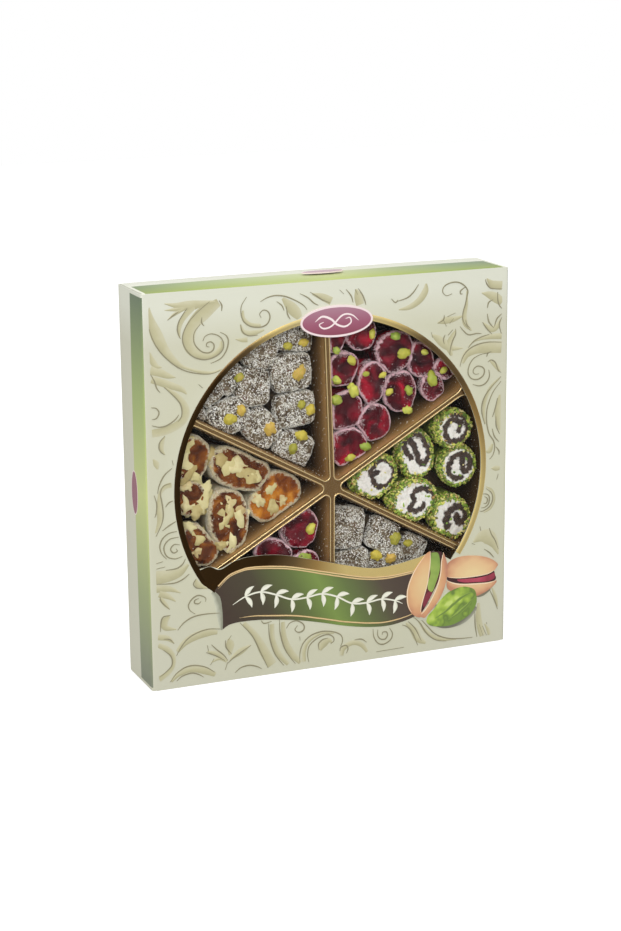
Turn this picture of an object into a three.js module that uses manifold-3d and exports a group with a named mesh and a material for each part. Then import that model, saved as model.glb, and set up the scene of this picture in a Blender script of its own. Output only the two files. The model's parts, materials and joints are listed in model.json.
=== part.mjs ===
// A square gift carton of Turkish delight, standing on its narrow edge. A round window with a waved lower
// edge shows a tray with six wedge-shaped cups, filled with four kinds of sweet.
// Millimetres, +Z up, the front faces -Y, and the origin is at the middle of the base.
import * as THREE from 'three';
import { mergeVertices } from 'three/addons/utils/BufferGeometryUtils.js';
import Module from 'manifold-3d';

const wasm = await Module();
wasm.setup();

// Carton: one folded blank of cardboard, closed by tucked panels at the top and the bottom.
const CARTON_WIDTH = 236;
const CARTON_DEPTH = 44;
const CARTON_HEIGHT = 240;
const BOARD = 1.2;
const CREASE_RADIUS = 1.2;
const CORNER_RADIUS = 2;
const SEAM_WIDTH = 0.8;
const SEAM_DEPTH = 0.6;
const SIDE_SEAM_INSET = 1.8;
const FRONT_SEAM_INSET = 1.3;

// Window, as seen from the front: a circle, cut into by the oval label, the banner and the pictured nuts.
const WINDOW_CENTRE = [1.3, 118];
const WINDOW_RADIUS = 98.8;
const LABEL_CENTRE = [3.2, 215.3];
const LABEL_SIZE = [46.8, 19.2];
const BANNER_ARCH = [[-100, 64], [-86, 71.8], [-80, 73.2], [-73.4, 70.6]];
const BANNER_WAVE = [
  [-73.4, 70.6], [-64, 74.7], [-53, 76.3], [-35, 75], [-12, 69], [20, 60.2], [36, 58.9], [56, 61.8],
  [66, 64.6],
];
const PICTURED_NUTS = [
  { centre: [65, 43], size: [25, 44], turn: -8 },
  { centre: [95, 45], size: [37, 28], turn: -6 },
];
const FILM_THICKNESS = 0.3;
const FILM_SIZE = [226, 230];
const FILM_CENTRE = [0, CARTON_HEIGHT / 2];

// Tray: one thin formed sheet, a flat web with six wedge-shaped cups about a hub.
const HUB = [0.8, 112.7];
const DIVIDERS = [30.4, 91.6, 151, 210, 269.4, 330.3];
const WEB_WIDTH = 3.4;
const CUP_REACH = 107;
const CUP_DEPTH = 32;
const CUP_DRAFT = 4.2;
const FOOT_HEIGHT = 4;
const FOOT_INSET = 2.4;
const HUB_CORNER_RADIUS = 4.5;
const OUTER_CORNER_RADIUS = 9;
const SHEET = 0.9;
const TRAY_SIZE = [229, 228];
const TRAY_CENTRE = [0, 116];
const TRAY_CORNER_RADIUS = 12;

// How finely the curves are stepped.
const WINDOW_STEPS = 72;
const ISLAND_STEPS = 24;
const ARCH_STEPS = 8;
const WAVE_STEPS = 20;
const HUB_CORNER_STEPS = 4;
const OUTER_CORNER_STEPS = 3;
const OUTER_ARC_STEPS = 8;

// Small gaps that keep the pieces apart.
const FIT_GAP = 0.3;
const SWEET_GAP = 0.3;
const CUP_GAP = 0.5;

// How far in front of the carton's middle each layer lies.
const FRONT = CARTON_DEPTH / 2;
const FILM_FRONT = FRONT - BOARD - FIT_GAP;
const WEB_FRONT = FILM_FRONT - FILM_THICKNESS - FIT_GAP;
const CUP_FLOOR = WEB_FRONT - CUP_DEPTH;

// The sweets, cup by cup. A row gives the middle of the face (across and up), the width, the height and the
// turn of the piece, and then its large nuts (across, up, length, turn).
const COCONUT_TOP_LEFT = [
  [-21, 137, 25, 21, -24, [[-22.5, 138, 6.5, 75], [-17, 145.5, 8, -25]]],
  [-42, 152, 25, 21, -47, [[-37.5, 152, 10, -60]]],
  [-19.5, 161, 26, 22, 4, [[-17, 165, 5.5, 60], [-11, 161, 7, 80]]],
  [-22.5, 184, 27, 23, 4, [[-18, 184.5, 10, 55]]],
  [-20, 206, 25, 19, -2, [[-25.5, 201.5, 6, -10], [-15, 202.5, 6, 0]]],
  [-42, 200, 21, 24, -16, []],
  [-47, 178.5, 23, 24, -4, []],
  [-63, 185, 20, 21, 34, [[-56.5, 185, 6, 50]]],
  [-63, 161, 27, 21, 22, [[-63, 160.5, 8.5, 5], [-56, 165.5, 7, 75]]],
  [-74, 176.5, 19, 15, 42, []],
  [-84, 165, 14, 17, 30, []],
];
const RUBY_TOP_RIGHT = [
  [13.5, 135, 24, 26, 12, [[24.5, 135, 7, -10], [15, 128.5, 6.5, 15]]],
  [31.5, 148.5, 23, 24, 0, []],
  [12, 158, 24, 25, 5, [[16.5, 170.5, 9, -65], [5, 166, 8, -5]]],
  [12, 183, 22, 23, 0, [[16.5, 189, 7, -50], [6.5, 177.5, 6.5, -40]]],
  [30, 174, 20, 27, -8, [[24.5, 180.5, 4.5, 0], [36, 178.5, 5, 20]]],
  [45.5, 192, 26, 25, 20, [[45.5, 201.5, 6.5, 0], [50.5, 190.5, 9, 10]]],
  [63, 185, 19, 24, 25, [[65, 190, 5, -30]]],
  [49, 166.5, 22, 27, 8, [[54.5, 167, 7, -60], [41.5, 167, 5.5, 20], [54, 154.5, 7, -20]]],
  [71, 167, 15, 19, 14, [[70.5, 172.5, 10, -75]]],
  [24, 205, 21, 22, -12, [[30.5, 203.5, 6, 80]]],
  [4.5, 205, 19, 21, 8, [[6, 196, 5.5, -35]]],
  [80, 179, 15, 17, -35, [[78, 177.5, 5.5, 30]]],
];
const CREAM_RIGHT = [
  [32, 114.5, 32, 27, 24, []],
  [60, 126.5, 24, 33, 14, []],
  [85, 140.5, 26, 24, -10, []],
  [88.5, 115.5, 25, 27, 4, []],
  [57.5, 97.5, 33, 27, 10, []],
  [84, 82, 27, 30, 24, []],
];
const COCONUT_BOTTOM_RIGHT = [
  [15, 83, 22, 27, -6, []],
  [17, 58, 24, 22, 6, []],
  [38, 77, 21, 21, -22, [[44.5, 74.5, 9, 75]]],
  [39, 60, 24, 18, 10, [[32, 64.5, 7.5, -45], [41.5, 62, 7.5, 15]]],
  [58, 64.5, 18, 18, -28, [[54, 70, 6, 0]]],
];
const RUBY_BOTTOM_LEFT = [
  [-18.5, 87.5, 24, 26, -18, [[-11.5, 87, 7, 60]]],
  [-36, 74, 26, 19, -28, []],
  [-15, 65, 20, 17, 10, [[-16, 69.5, 9, -12]]],
];
const WALNUT_LEFT = [
  [-56.5, 129.5, 41, 26, -22, []],
  [-35, 109.5, 37, 30, 22, []],
  [-65, 98.5, 26, 42, 4, []],
  [-86.5, 138, 24, 28, -14, []],
  [-88, 114, 22, 22, 8, []],
  [-83, 85, 21, 29, 30, []],
];
const FACE_LEVEL = WEB_FRONT - 5.5;
const LEVEL_SPREAD = 1.6;
const TILT_SPREAD = 7;
const NUT_PROUD = 1.1;

// One repeatable stream of draws, so that the sweets come out the same each time.
let seed = 20261;
function draw(low, high) {
  seed = (seed * 48271) % 2147483647;
  return low + (high - low) * (seed / 2147483647);
}

const radians = THREE.MathUtils.degToRad;

function pointAt(distance, degrees, [x, y]) {
  const turn = radians(degrees);
  return new THREE.Vector2(x + distance * Math.cos(turn), y + distance * Math.sin(turn));
}

// Geometry to solid and back.
function solid(geometry) {
  const bare = geometry.clone();
  bare.deleteAttribute('normal');
  bare.deleteAttribute('uv');
  const merged = mergeVertices(bare, 1e-4);
  return new wasm.Manifold(new wasm.Mesh({
    numProp: 3,
    vertProperties: new Float32Array(merged.attributes.position.array),
    triVerts: new Uint32Array(merged.index.array),
  }));
}

function geometryOf(manifold) {
  const mesh = manifold.getMesh();
  const geometry = new THREE.BufferGeometry();
  geometry.setAttribute('position', new THREE.BufferAttribute(new Float32Array(mesh.vertProperties), 3));
  geometry.setIndex(new THREE.BufferAttribute(new Uint32Array(mesh.triVerts), 1));
  geometry.computeVertexNormals();
  return geometry;
}

function named(name, geometry, material) {
  const mesh = new THREE.Mesh(geometry, material);
  mesh.name = name;
  return mesh;
}

function finish(color, roughness, metalness = 0) {
  return new THREE.MeshStandardMaterial({ color, roughness, metalness });
}

// A closed solid through a stack of outlines with the same number of points, from back to front.
function loft(rings) {
  const sides = rings[0].outline.length;
  const positions = rings.flatMap(({ outline, level }) => outline.flatMap((p) => [p.x, p.y, level]));
  const index = [];
  const last = sides * (rings.length - 1);
  for (const [a, b, c] of THREE.ShapeUtils.triangulateShape(rings[0].outline, [])) {
    index.push(a, c, b);
    index.push(last + a, last + b, last + c);
  }
  for (let ring = 0; ring < rings.length - 1; ring++) {
    for (let side = 0; side < sides; side++) {
      const a = ring * sides + side;
      const b = ring * sides + (side + 1) % sides;
      index.push(a, b, b + sides, a, b + sides, a + sides);
    }
  }
  const geometry = new THREE.BufferGeometry();
  geometry.setAttribute('position', new THREE.Float32BufferAttribute(positions, 3));
  geometry.setIndex(index);
  return geometry;
}

// A flat plate of any outline, from one level to another.
function plate(shape, back, front, curveSegments = 12) {
  const depth = front - back;
  return new THREE.ExtrudeGeometry(shape, { depth, bevelEnabled: false, curveSegments }).translate(0, 0, back);
}

function roundedRectangle(width, height, radius, [x, y] = [0, 0]) {
  const shape = new THREE.Shape();
  const right = width / 2 - radius;
  const top = height / 2 - radius;
  shape.absarc(x + right, y + top, radius, 0, Math.PI / 2);
  shape.absarc(x - right, y + top, radius, Math.PI / 2, Math.PI);
  shape.absarc(x - right, y - top, radius, Math.PI, 1.5 * Math.PI);
  shape.absarc(x + right, y - top, radius, 1.5 * Math.PI, 2 * Math.PI);
  return shape;
}

function ellipse([x, y], [width, height], turn = 0) {
  const shape = new THREE.Shape();
  shape.absellipse(x, y, width / 2, height / 2, 0, 2 * Math.PI, false, radians(turn));
  return shape;
}

// The board below the window: everything under the banner's arch and wave, down past the circle.
function bannerShape() {
  const spline = (points, steps) => new THREE.SplineCurve(points.map(([x, y]) => new THREE.Vector2(x, y)))
    .getPoints(steps);
  const edge = [...spline(BANNER_ARCH, ARCH_STEPS), ...spline(BANNER_WAVE, WAVE_STEPS).slice(1)];
  const low = WINDOW_CENTRE[1] - WINDOW_RADIUS - BOARD;
  const corners = [new THREE.Vector2(edge.at(-1).x, low), new THREE.Vector2(edge[0].x, low)];
  return new THREE.Shape([...edge, ...corners]);
}

// The opening in the front panel, as a cutter from one level to another.
function windowCutter(back, front) {
  const circle = ellipse(WINDOW_CENTRE, [2 * WINDOW_RADIUS, 2 * WINDOW_RADIUS]);
  let cutter = solid(plate(circle, back, front, WINDOW_STEPS));
  const islands = [
    ellipse(LABEL_CENTRE, LABEL_SIZE),
    bannerShape(),
    ...PICTURED_NUTS.map(({ centre, size, turn }) => ellipse(centre, size, turn)),
  ];
  for (const island of islands) {
    cutter = cutter.subtract(solid(plate(island, back - BOARD, front + BOARD, ISLAND_STEPS)));
  }
  return cutter;
}

// Grooves where the tucked end panels meet the side panels and the front panel.
function seamGrooves() {
  const deep = CARTON_DEPTH - 2 * (FRONT_SEAM_INSET + SEAM_WIDTH);
  const long = CARTON_WIDTH - 2 * SIDE_SEAM_INSET;
  const grooves = [];
  for (const height of [0, CARTON_HEIGHT]) {
    for (const side of [-1, 1]) {
      const sideGroove = new THREE.BoxGeometry(SEAM_WIDTH, deep, 2 * SEAM_DEPTH);
      grooves.push(sideGroove.translate(side * (CARTON_WIDTH / 2 - SIDE_SEAM_INSET), 0, height));
    }
    const frontGroove = new THREE.BoxGeometry(long, SEAM_WIDTH, 2 * SEAM_DEPTH);
    grooves.push(frontGroove.translate(0, FRONT_SEAM_INSET + SEAM_WIDTH / 2 - CARTON_DEPTH / 2, height));
  }
  return grooves;
}

function cartonGeometry() {
  const footprint = roundedRectangle(CARTON_WIDTH, CARTON_DEPTH, CORNER_RADIUS);
  const outside = new THREE.ExtrudeGeometry(footprint, {
    depth: CARTON_HEIGHT - 2 * CREASE_RADIUS,
    bevelThickness: CREASE_RADIUS,
    bevelSize: CREASE_RADIUS,
    bevelOffset: -CREASE_RADIUS,
    bevelSegments: 2,
    curveSegments: 3,
  });
  outside.translate(0, 0, CREASE_RADIUS);
  const inside = new THREE.BoxGeometry(
    CARTON_WIDTH - 2 * BOARD, CARTON_DEPTH - 2 * BOARD, CARTON_HEIGHT - 2 * BOARD);
  inside.translate(0, 0, CARTON_HEIGHT / 2);
  const opening = geometryOf(windowCutter(FRONT - 2 * BOARD, FRONT + BOARD)).rotateX(Math.PI / 2);
  let carton = solid(outside).subtract(solid(inside)).subtract(solid(opening));
  for (const groove of seamGrooves()) {
    carton = carton.subtract(solid(groove));
  }
  return geometryOf(carton);
}

function filmGeometry() {
  const sheet = roundedRectangle(...FILM_SIZE, CORNER_RADIUS, FILM_CENTRE);
  return plate(sheet, FILM_FRONT - FILM_THICKNESS, FILM_FRONT, 2);
}

// An arc of points, from one direction through a sweep.
function arc(centre, radius, start, sweep, steps) {
  return Array.from({ length: steps + 1 }, (_, i) => pointAt(radius, start + (i * sweep) / steps, centre));
}

// One cup's outline: a wedge between two dividers, with rounded corners. A positive inset makes it smaller.
function cupOutline({ middle, half }, inset) {
  const wall = WEB_WIDTH / 2 + inset;
  const inner = Math.max(HUB_CORNER_RADIUS - inset, SHEET);
  const outer = Math.max(OUTER_CORNER_RADIUS - inset, SHEET);
  const reach = CUP_REACH - inset;
  const swing = THREE.MathUtils.radToDeg(Math.asin((wall + outer) / (reach - outer)));
  const open = half - swing;
  const hubCorner = pointAt((wall + inner) / Math.sin(radians(half)), middle, HUB);
  const rightCorner = pointAt(reach - outer, middle - open, HUB);
  const leftCorner = pointAt(reach - outer, middle + open, HUB);
  return [
    ...arc(hubCorner, inner, middle + 90 + half, 180 - 2 * half, HUB_CORNER_STEPS),
    ...arc(rightCorner, outer, middle - half - 90, 90 + swing, OUTER_CORNER_STEPS),
    ...arc(HUB, reach, middle - open, 2 * open, OUTER_ARC_STEPS).slice(1, -1),
    ...arc(leftCorner, outer, middle + open, 90 + swing, OUTER_CORNER_STEPS),
  ];
}

// The space of a cup, or the outside of its wall, up to the given level. Its foot is rounded.
function cupSolid(cup, inset, floor, top) {
  return solid(loft([
    { outline: cupOutline(cup, inset + CUP_DRAFT + FOOT_INSET), level: floor },
    { outline: cupOutline(cup, inset + CUP_DRAFT), level: floor + FOOT_HEIGHT },
    { outline: cupOutline(cup, inset), level: top },
  ]));
}

// The room for sweets in a cup, which stays inside the rounded foot.
function cupRoom(cup) {
  return solid(loft([
    { outline: cupOutline(cup, CUP_GAP + CUP_DRAFT + FOOT_INSET), level: CUP_FLOOR + CUP_GAP },
    { outline: cupOutline(cup, CUP_GAP), level: WEB_FRONT },
  ]));
}

const cups = DIVIDERS.map((divider, i) => {
  const next = DIVIDERS[i + 1] ?? DIVIDERS[0] + 360;
  return { middle: (divider + next) / 2, half: (next - divider) / 2 };
});

function trayGeometry() {
  const web = roundedRectangle(...TRAY_SIZE, TRAY_CORNER_RADIUS, TRAY_CENTRE);
  let tray = solid(plate(web, WEB_FRONT - SHEET, WEB_FRONT, 4));
  for (const cup of cups) {
    tray = tray.add(cupSolid(cup, -SHEET, CUP_FLOOR - SHEET, WEB_FRONT));
  }
  for (const cup of cups) {
    tray = tray.subtract(cupSolid(cup, 0, CUP_FLOOR, WEB_FRONT + 0.01));
  }
  return geometryOf(tray);
}

// Outline of a sweet: a high power squares it off, a power of two is an ellipse. It is a little uneven.
function sweetOutline(width, height, power, sides, unevenness) {
  return Array.from({ length: sides }, (_, i) => {
    const turn = (2 * Math.PI * i) / sides;
    const size = 1 + draw(-unevenness, unevenness);
    const across = Math.sign(Math.cos(turn)) * Math.abs(Math.cos(turn)) ** (2 / power);
    const up = Math.sign(Math.sin(turn)) * Math.abs(Math.sin(turn)) ** (2 / power);
    return new THREE.Vector2((across * size * width) / 2, (up * size * height) / 2);
  });
}

// A sweet in its own frame, its face forwards at level 0, with a rounded edge, and narrowing to the back.
function sweetBody(outline, width, height, thickness, round) {
  const levels = [[-thickness, round / 2], [-round, 0], [-0.3 * round, 0.3 * round], [0, round]];
  return solid(loft(levels.map(([level, inset]) => {
    const across = 1 - (2 * inset) / width;
    const up = 1 - (2 * inset) / height;
    return { level, outline: outline.map((p) => new THREE.Vector2(p.x * across, p.y * up)) };
  })));
}

function nutBump(length, turn) {
  const bump = new THREE.IcosahedronGeometry(0.5, 0);
  bump.scale(length, length * 0.72, 2 * (NUT_PROUD + 1));
  bump.rotateZ(radians(turn));
  return bump;
}

// The kinds of sweet: how square the outline is, the rounding of the edges, and the finish.
const KINDS = {
  coconut_cube: { power: 5, sides: 12, uneven: 0.025, round: 2.6, finish: finish(0x8d8a85, 0.95) },
  ruby_slice: { power: 2.3, sides: 14, uneven: 0.04, round: 1.8, finish: finish(0x6d1425, 0.35) },
  cream_roll: { power: 2, sides: 16, uneven: 0.03, round: 1.6, finish: finish(0xd9d6c4, 0.7) },
  walnut_roll: { power: 2.1, sides: 16, uneven: 0.03, round: 1.8, finish: finish(0x9a5b2a, 0.45) },
};

// One compartment's sweets, placed but not yet parted from each other.
function placeSweets(kind, rows) {
  const { power, sides, uneven, round } = KINDS[kind];
  return rows.map(([across, up, width, height, turn, nuts]) => {
    const level = FACE_LEVEL + draw(-LEVEL_SPREAD, LEVEL_SPREAD);
    const thickness = level - CUP_FLOOR - 1;
    const place = new THREE.Matrix4().makeRotationFromEuler(new THREE.Euler(
      radians(draw(-TILT_SPREAD, TILT_SPREAD)), radians(draw(-TILT_SPREAD, TILT_SPREAD)), radians(turn)));
    place.setPosition(across, up, level);
    const back = place.clone().invert();
    const outline = sweetOutline(width, height, power, sides, uneven);
    let body = sweetBody(outline, width, height, thickness, round);
    for (const [nutAcross, nutUp, length, nutTurn] of nuts) {
      const spot = new THREE.Vector3(nutAcross, nutUp, level).applyMatrix4(back);
      body = body.add(solid(nutBump(length, nutTurn - turn).translate(spot.x, spot.y, NUT_PROUD / 2 - 1)));
    }
    const centre = new THREE.Vector3(0, 0, -thickness / 2).applyMatrix4(place);
    return { kind, centre, body: solid(geometryOf(body).applyMatrix4(place)) };
  });
}

// How far a solid reaches from a point along a direction.
function reachOf(body, from, direction) {
  const { vertProperties } = body.getMesh();
  let reach = -Infinity;
  for (let i = 0; i < vertProperties.length; i += 3) {
    const vertex = new THREE.Vector3(vertProperties[i], vertProperties[i + 1], vertProperties[i + 2]);
    reach = Math.max(reach, vertex.sub(from).dot(direction));
  }
  return reach;
}

// A block that takes away everything beyond a plane.
function beyond(point, direction) {
  const block = new THREE.BoxGeometry(200, 200, 200).translate(0, 0, 100);
  const facing = new THREE.Quaternion().setFromUnitVectors(new THREE.Vector3(0, 0, 1), direction);
  return solid(block.applyQuaternion(facing).translate(point.x, point.y, point.z));
}

// Soft neighbours press flat faces into each other, halfway into the space that both would fill.
function pressTogether(sweets) {
  sweets.forEach((sweet, i) => sweets.slice(i + 1).forEach((other) => {
    const direction = other.centre.clone().sub(sweet.centre);
    const distance = direction.length();
    direction.normalize();
    const away = direction.clone().negate();
    const reach = reachOf(sweet.body, sweet.centre, direction);
    const shared = reach + reachOf(other.body, other.centre, away) - distance + SWEET_GAP;
    if (shared <= 0) return;
    const near = sweet.centre.clone().addScaledVector(direction, reach - shared / 2);
    sweet.body = sweet.body.subtract(beyond(near, direction));
    other.body = other.body.subtract(beyond(near.addScaledVector(direction, SWEET_GAP), away));
  }));
  return sweets;
}

// Fill each cup, counted from the first divider round to the left, and trim what would meet its wall.
const FILLINGS = [
  ['ruby_slice', RUBY_TOP_RIGHT],
  ['coconut_cube', COCONUT_TOP_LEFT],
  ['walnut_roll', WALNUT_LEFT],
  ['ruby_slice', RUBY_BOTTOM_LEFT],
  ['coconut_cube', COCONUT_BOTTOM_RIGHT],
  ['cream_roll', CREAM_RIGHT],
];
const counts = {};
const sweetMeshes = FILLINGS.flatMap(([kind, rows], i) => {
  const room = cupRoom(cups[i]);
  return pressTogether(placeSweets(kind, rows)).map(({ body }) => {
    counts[kind] = (counts[kind] ?? 0) + 1;
    const name = `${kind}_${String(counts[kind]).padStart(2, '0')}`;
    return named(name, geometryOf(body.intersect(room)), KINDS[kind].finish);
  });
});

// Everything behind the window is laid out as seen from the front, and turned upright as one group.
const contents = new THREE.Group();
contents.rotation.x = Math.PI / 2;
contents.add(
  named('window_film', filmGeometry(), finish(0xeef2f2, 0.08)),
  named('tray', trayGeometry(), finish(0xa98a4a, 0.3, 0.6)),
  ...sweetMeshes,
);

const pack = new THREE.Group();
pack.add(named('carton', cartonGeometry(), finish(0xd9dbcb, 0.55)), contents);

export default pack;
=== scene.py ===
# A square gift carton of Turkish delight, standing on its narrow edge: printed board, a foil-edged window
# with clear film, a formed gold tray with six cups, and four kinds of sweet.
import json
import math
import random

import bmesh
import bpy
from mathutils import Matrix, Vector, noise
from mathutils.bvhtree import BVHTree
from mathutils.geometry import intersect_line_line_2d, tessellate_polygon

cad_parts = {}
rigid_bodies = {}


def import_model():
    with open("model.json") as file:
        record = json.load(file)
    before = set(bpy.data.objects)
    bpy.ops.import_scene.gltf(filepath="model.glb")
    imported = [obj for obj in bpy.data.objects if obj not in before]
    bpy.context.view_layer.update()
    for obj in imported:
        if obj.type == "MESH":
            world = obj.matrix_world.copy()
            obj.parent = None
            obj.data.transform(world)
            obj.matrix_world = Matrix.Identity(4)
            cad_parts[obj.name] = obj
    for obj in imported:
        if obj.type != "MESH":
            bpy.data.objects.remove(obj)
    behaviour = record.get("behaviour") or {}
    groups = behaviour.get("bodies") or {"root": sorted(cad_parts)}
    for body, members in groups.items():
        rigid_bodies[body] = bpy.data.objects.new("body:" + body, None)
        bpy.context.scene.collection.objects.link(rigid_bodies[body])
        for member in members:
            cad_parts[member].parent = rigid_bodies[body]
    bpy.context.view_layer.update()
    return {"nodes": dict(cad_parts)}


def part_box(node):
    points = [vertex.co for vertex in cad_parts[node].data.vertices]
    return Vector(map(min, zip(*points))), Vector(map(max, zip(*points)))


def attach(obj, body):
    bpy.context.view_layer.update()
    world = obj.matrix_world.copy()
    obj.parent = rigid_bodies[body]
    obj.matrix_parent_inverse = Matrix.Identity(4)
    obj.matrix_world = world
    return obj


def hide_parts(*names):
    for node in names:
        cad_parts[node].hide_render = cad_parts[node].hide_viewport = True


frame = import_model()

# Carton: one die-cut blank of cream coated board, 0.6 mm thick, folded into a sleeve. The end panels hinge
# at the back and their tuck flaps slip in behind the front panel, so the cut edges of the front and the
# sides show around them. The folds stay rounded, the long sides bow a little and the top panel bulges.
MM = 0.001
BOARD = 0.6
FOLD_RADIUS = 1.5
FRONT_FOLD_FLAT = 1.5
SIDE_BOW = 0.5
HEIGHT_STEPS = 32
SIDE_STEPS = 8
FOLD_STEPS = 5
HINGE_RADIUS = 1.4
HINGE_DROP = 4.0
TUCK_RADIUS = 1.6
TUCK_DEPTH = 12.0
END_PANEL_GAP = 0.5
TOP_BOW = 2.2
TOP_BOW_ALONG = 0.45
TOP_BOW_ACROSS = 4
TUCK_GAP = 0.12
END_SINK = 0.05
SIDE_RIM_DROP = 0.25
SIDE_BAND_SHARE = 0.48
END_BAND_SHARE = 0.64
BAND_END = 2.2
END_FACE_DEPTH = 1.3
FRONT_FACE_DEPTH = 0.25
CORNER_SLACK = 0.01
CREAM_SPREAD = (85, 150)
# Heights over which the board is painted paler towards the top, a painted highlight, and by how much.
PAINTED_TOP_HIGHLIGHT = (208, 230)
TOP_LIGHT_SHARE = 0.65
EDGE_GREEN_SHARE = 0.6
WINDOW_CENTRE = (1.3, 118.0)
WINDOW_RADIUS = 98.8
WINDOW_STEPS = 720
LABEL_CENTRE = (3.2, 215.3)
LABEL_SIZE = (46.8, 19.2)
BANNER_ARCH = [(-100, 64), (-86, 71.8), (-80, 73.2), (-73.4, 70.6)]
BANNER_WAVE = [(-73.4, 70.6), (-64, 74.7), (-53, 76.3), (-35, 75), (-12, 69), (20, 60.2), (36, 58.9),
               (56, 61.8), (66, 64.6)]
NUT_PRINTS = [((65, 43), (25, 44), -8), ((95, 45), (37, 28), -6)]

_, carton_high = (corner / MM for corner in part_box("carton"))
HALF_WIDTH = carton_high.x
HALF_DEPTH = carton_high.y
HEIGHT = carton_high.z
FRONT = -HALF_DEPTH


def linear(colour):
    """An sRGB hex colour as a linear RGBA value."""
    channels = [int(colour[i:i + 2], 16) / 255 for i in (1, 3, 5)]
    return tuple(c / 12.92 if c <= 0.04045 else ((c + 0.055) / 1.055) ** 2.4 for c in channels) + (1.0,)


def feed(tree, node, inputs):
    """Fills a node's inputs with plain values, with sockets, or with the first output of other nodes."""
    for key, value in inputs.items():
        if isinstance(value, bpy.types.Node):
            value = value.outputs[0]
        if isinstance(value, bpy.types.NodeSocket):
            tree.links.new(value, node.inputs[key])
        else:
            node.inputs[key].default_value = value


def add_node(tree, kind, inputs=None, stops=None, **settings):
    """Adds a node, sets its properties and ramp stops, and fills its inputs."""
    made = tree.nodes.new(kind)
    for name, value in settings.items():
        setattr(made, name, value)
    feed(tree, made, inputs or {})
    if stops:
        elements = made.color_ramp.elements
        while len(elements) < len(stops):
            elements.new(1.0)
        for element, (place, colour) in zip(elements, stops):
            element.position = place
            element.color = linear(colour)
    return made


def new_material(name, roughness, metallic=0.0):
    """A material with a Principled surface; returns it with its tree, its shader and object coordinates."""
    material = bpy.data.materials.new(name)
    material.use_nodes = True
    tree = material.node_tree
    shader = tree.nodes["Principled BSDF"]
    feed(tree, shader, {"Roughness": roughness, "Metallic": metallic})
    place = add_node(tree, "ShaderNodeTexCoord").outputs["Object"]
    return material, tree, shader, place


def spline(points, steps=8):
    """A smooth curve through points, as a list of points."""
    held = [points[0], *points, points[-1]]
    curve = []
    for i in range(1, len(held) - 2):
        for step in range(steps):
            t = step / steps
            curve.append(tuple(
                0.5 * (2 * b + (c - a) * t + (2 * a - 5 * b + 4 * c - d) * t * t
                       + (3 * b - a - 3 * c + d) * t ** 3)
                for a, b, c, d in zip(*held[i - 1:i + 3])))
    curve.append(tuple(points[-1]))
    return curve


def ellipse(centre, size, turn=0.0, steps=64):
    """An ellipse as a list of points (across, up)."""
    c, s = math.cos(math.radians(turn)), math.sin(math.radians(turn))
    points = []
    for i in range(steps):
        angle = 2 * math.pi * i / steps
        x, z = size[0] / 2 * math.cos(angle), size[1] / 2 * math.sin(angle)
        points.append((centre[0] + c * x - s * z, centre[1] + s * x + c * z))
    return points


def plate(loops, front, back):
    """A flat closed plate: an outline and any holes as (across, up), from one depth to another."""
    flat = [point for loop in loops for point in loop]
    triangles = tessellate_polygon([[Vector((x, z, 0)) for x, z in loop] for loop in loops])
    count = len(flat)
    vertices = [(x, front, z) for x, z in flat] + [(x, back, z) for x, z in flat]
    faces = [tuple(t) for t in triangles] + [tuple(i + count for i in reversed(t)) for t in triangles]
    start = 0
    for loop in loops:
        for i in range(len(loop)):
            a, b = start + i, start + (i + 1) % len(loop)
            faces.append((a, b, b + count, a + count))
        start += len(loop)
    return vertices, faces


def make_piece(name, shells, material, replaces=(), flat_angle=35, values=None):
    """One piece from closed shells in millimetres, fixed to the carton's only body."""
    vertices, faces = [], []
    for shell_vertices, shell_faces in shells:
        faces += [tuple(i + len(vertices) for i in face) for face in shell_faces]
        vertices += shell_vertices
    mesh = bpy.data.meshes.new(name)
    mesh.from_pydata([Vector(v) * MM for v in vertices], [], faces)
    for key, numbers in (values or {}).items():
        mesh.attributes.new(key, "FLOAT", "POINT").data.foreach_set("value", numbers)
    work = bmesh.new()
    work.from_mesh(mesh)
    bmesh.ops.recalc_face_normals(work, faces=work.faces)
    work.to_mesh(mesh)
    work.free()
    mesh.polygons.foreach_set("use_smooth", [True] * len(mesh.polygons))
    mesh.set_sharp_from_angle(angle=math.radians(flat_angle))
    mesh.materials.append(material)
    piece = bpy.data.objects.new(name, mesh)
    bpy.context.collection.objects.link(piece)
    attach(piece, "root")
    if replaces:
        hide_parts(*replaces)
    return piece


def sleeve_outline(inset):
    """The folded side, back and side seen from above, with a short flat of the front at each end."""
    corners = []
    for x_sign, y_sign, start in ((-1, -1, 270), (-1, 1, 180), (1, 1, 90), (1, -1, 0)):
        cx, cy = x_sign * (HALF_WIDTH - FOLD_RADIUS), y_sign * (HALF_DEPTH - FOLD_RADIUS)
        radius = FOLD_RADIUS - inset
        for step in range(FOLD_STEPS + 1):
            angle = math.radians(start - 90 * step / FOLD_STEPS)
            corners.append((cx + radius * math.cos(angle), cy + radius * math.sin(angle)))
        if (x_sign, y_sign) in ((-1, -1), (1, 1)):
            ahead = corners[-1]
            for step in range(1, SIDE_STEPS):
                y = ahead[1] * (1 - 2 * step / SIDE_STEPS)
                corners.append((ahead[0], y))
    flat = HALF_WIDTH - FOLD_RADIUS - FRONT_FOLD_FLAT
    return [(-flat, FRONT + inset), *corners, (flat, FRONT + inset)]


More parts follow.
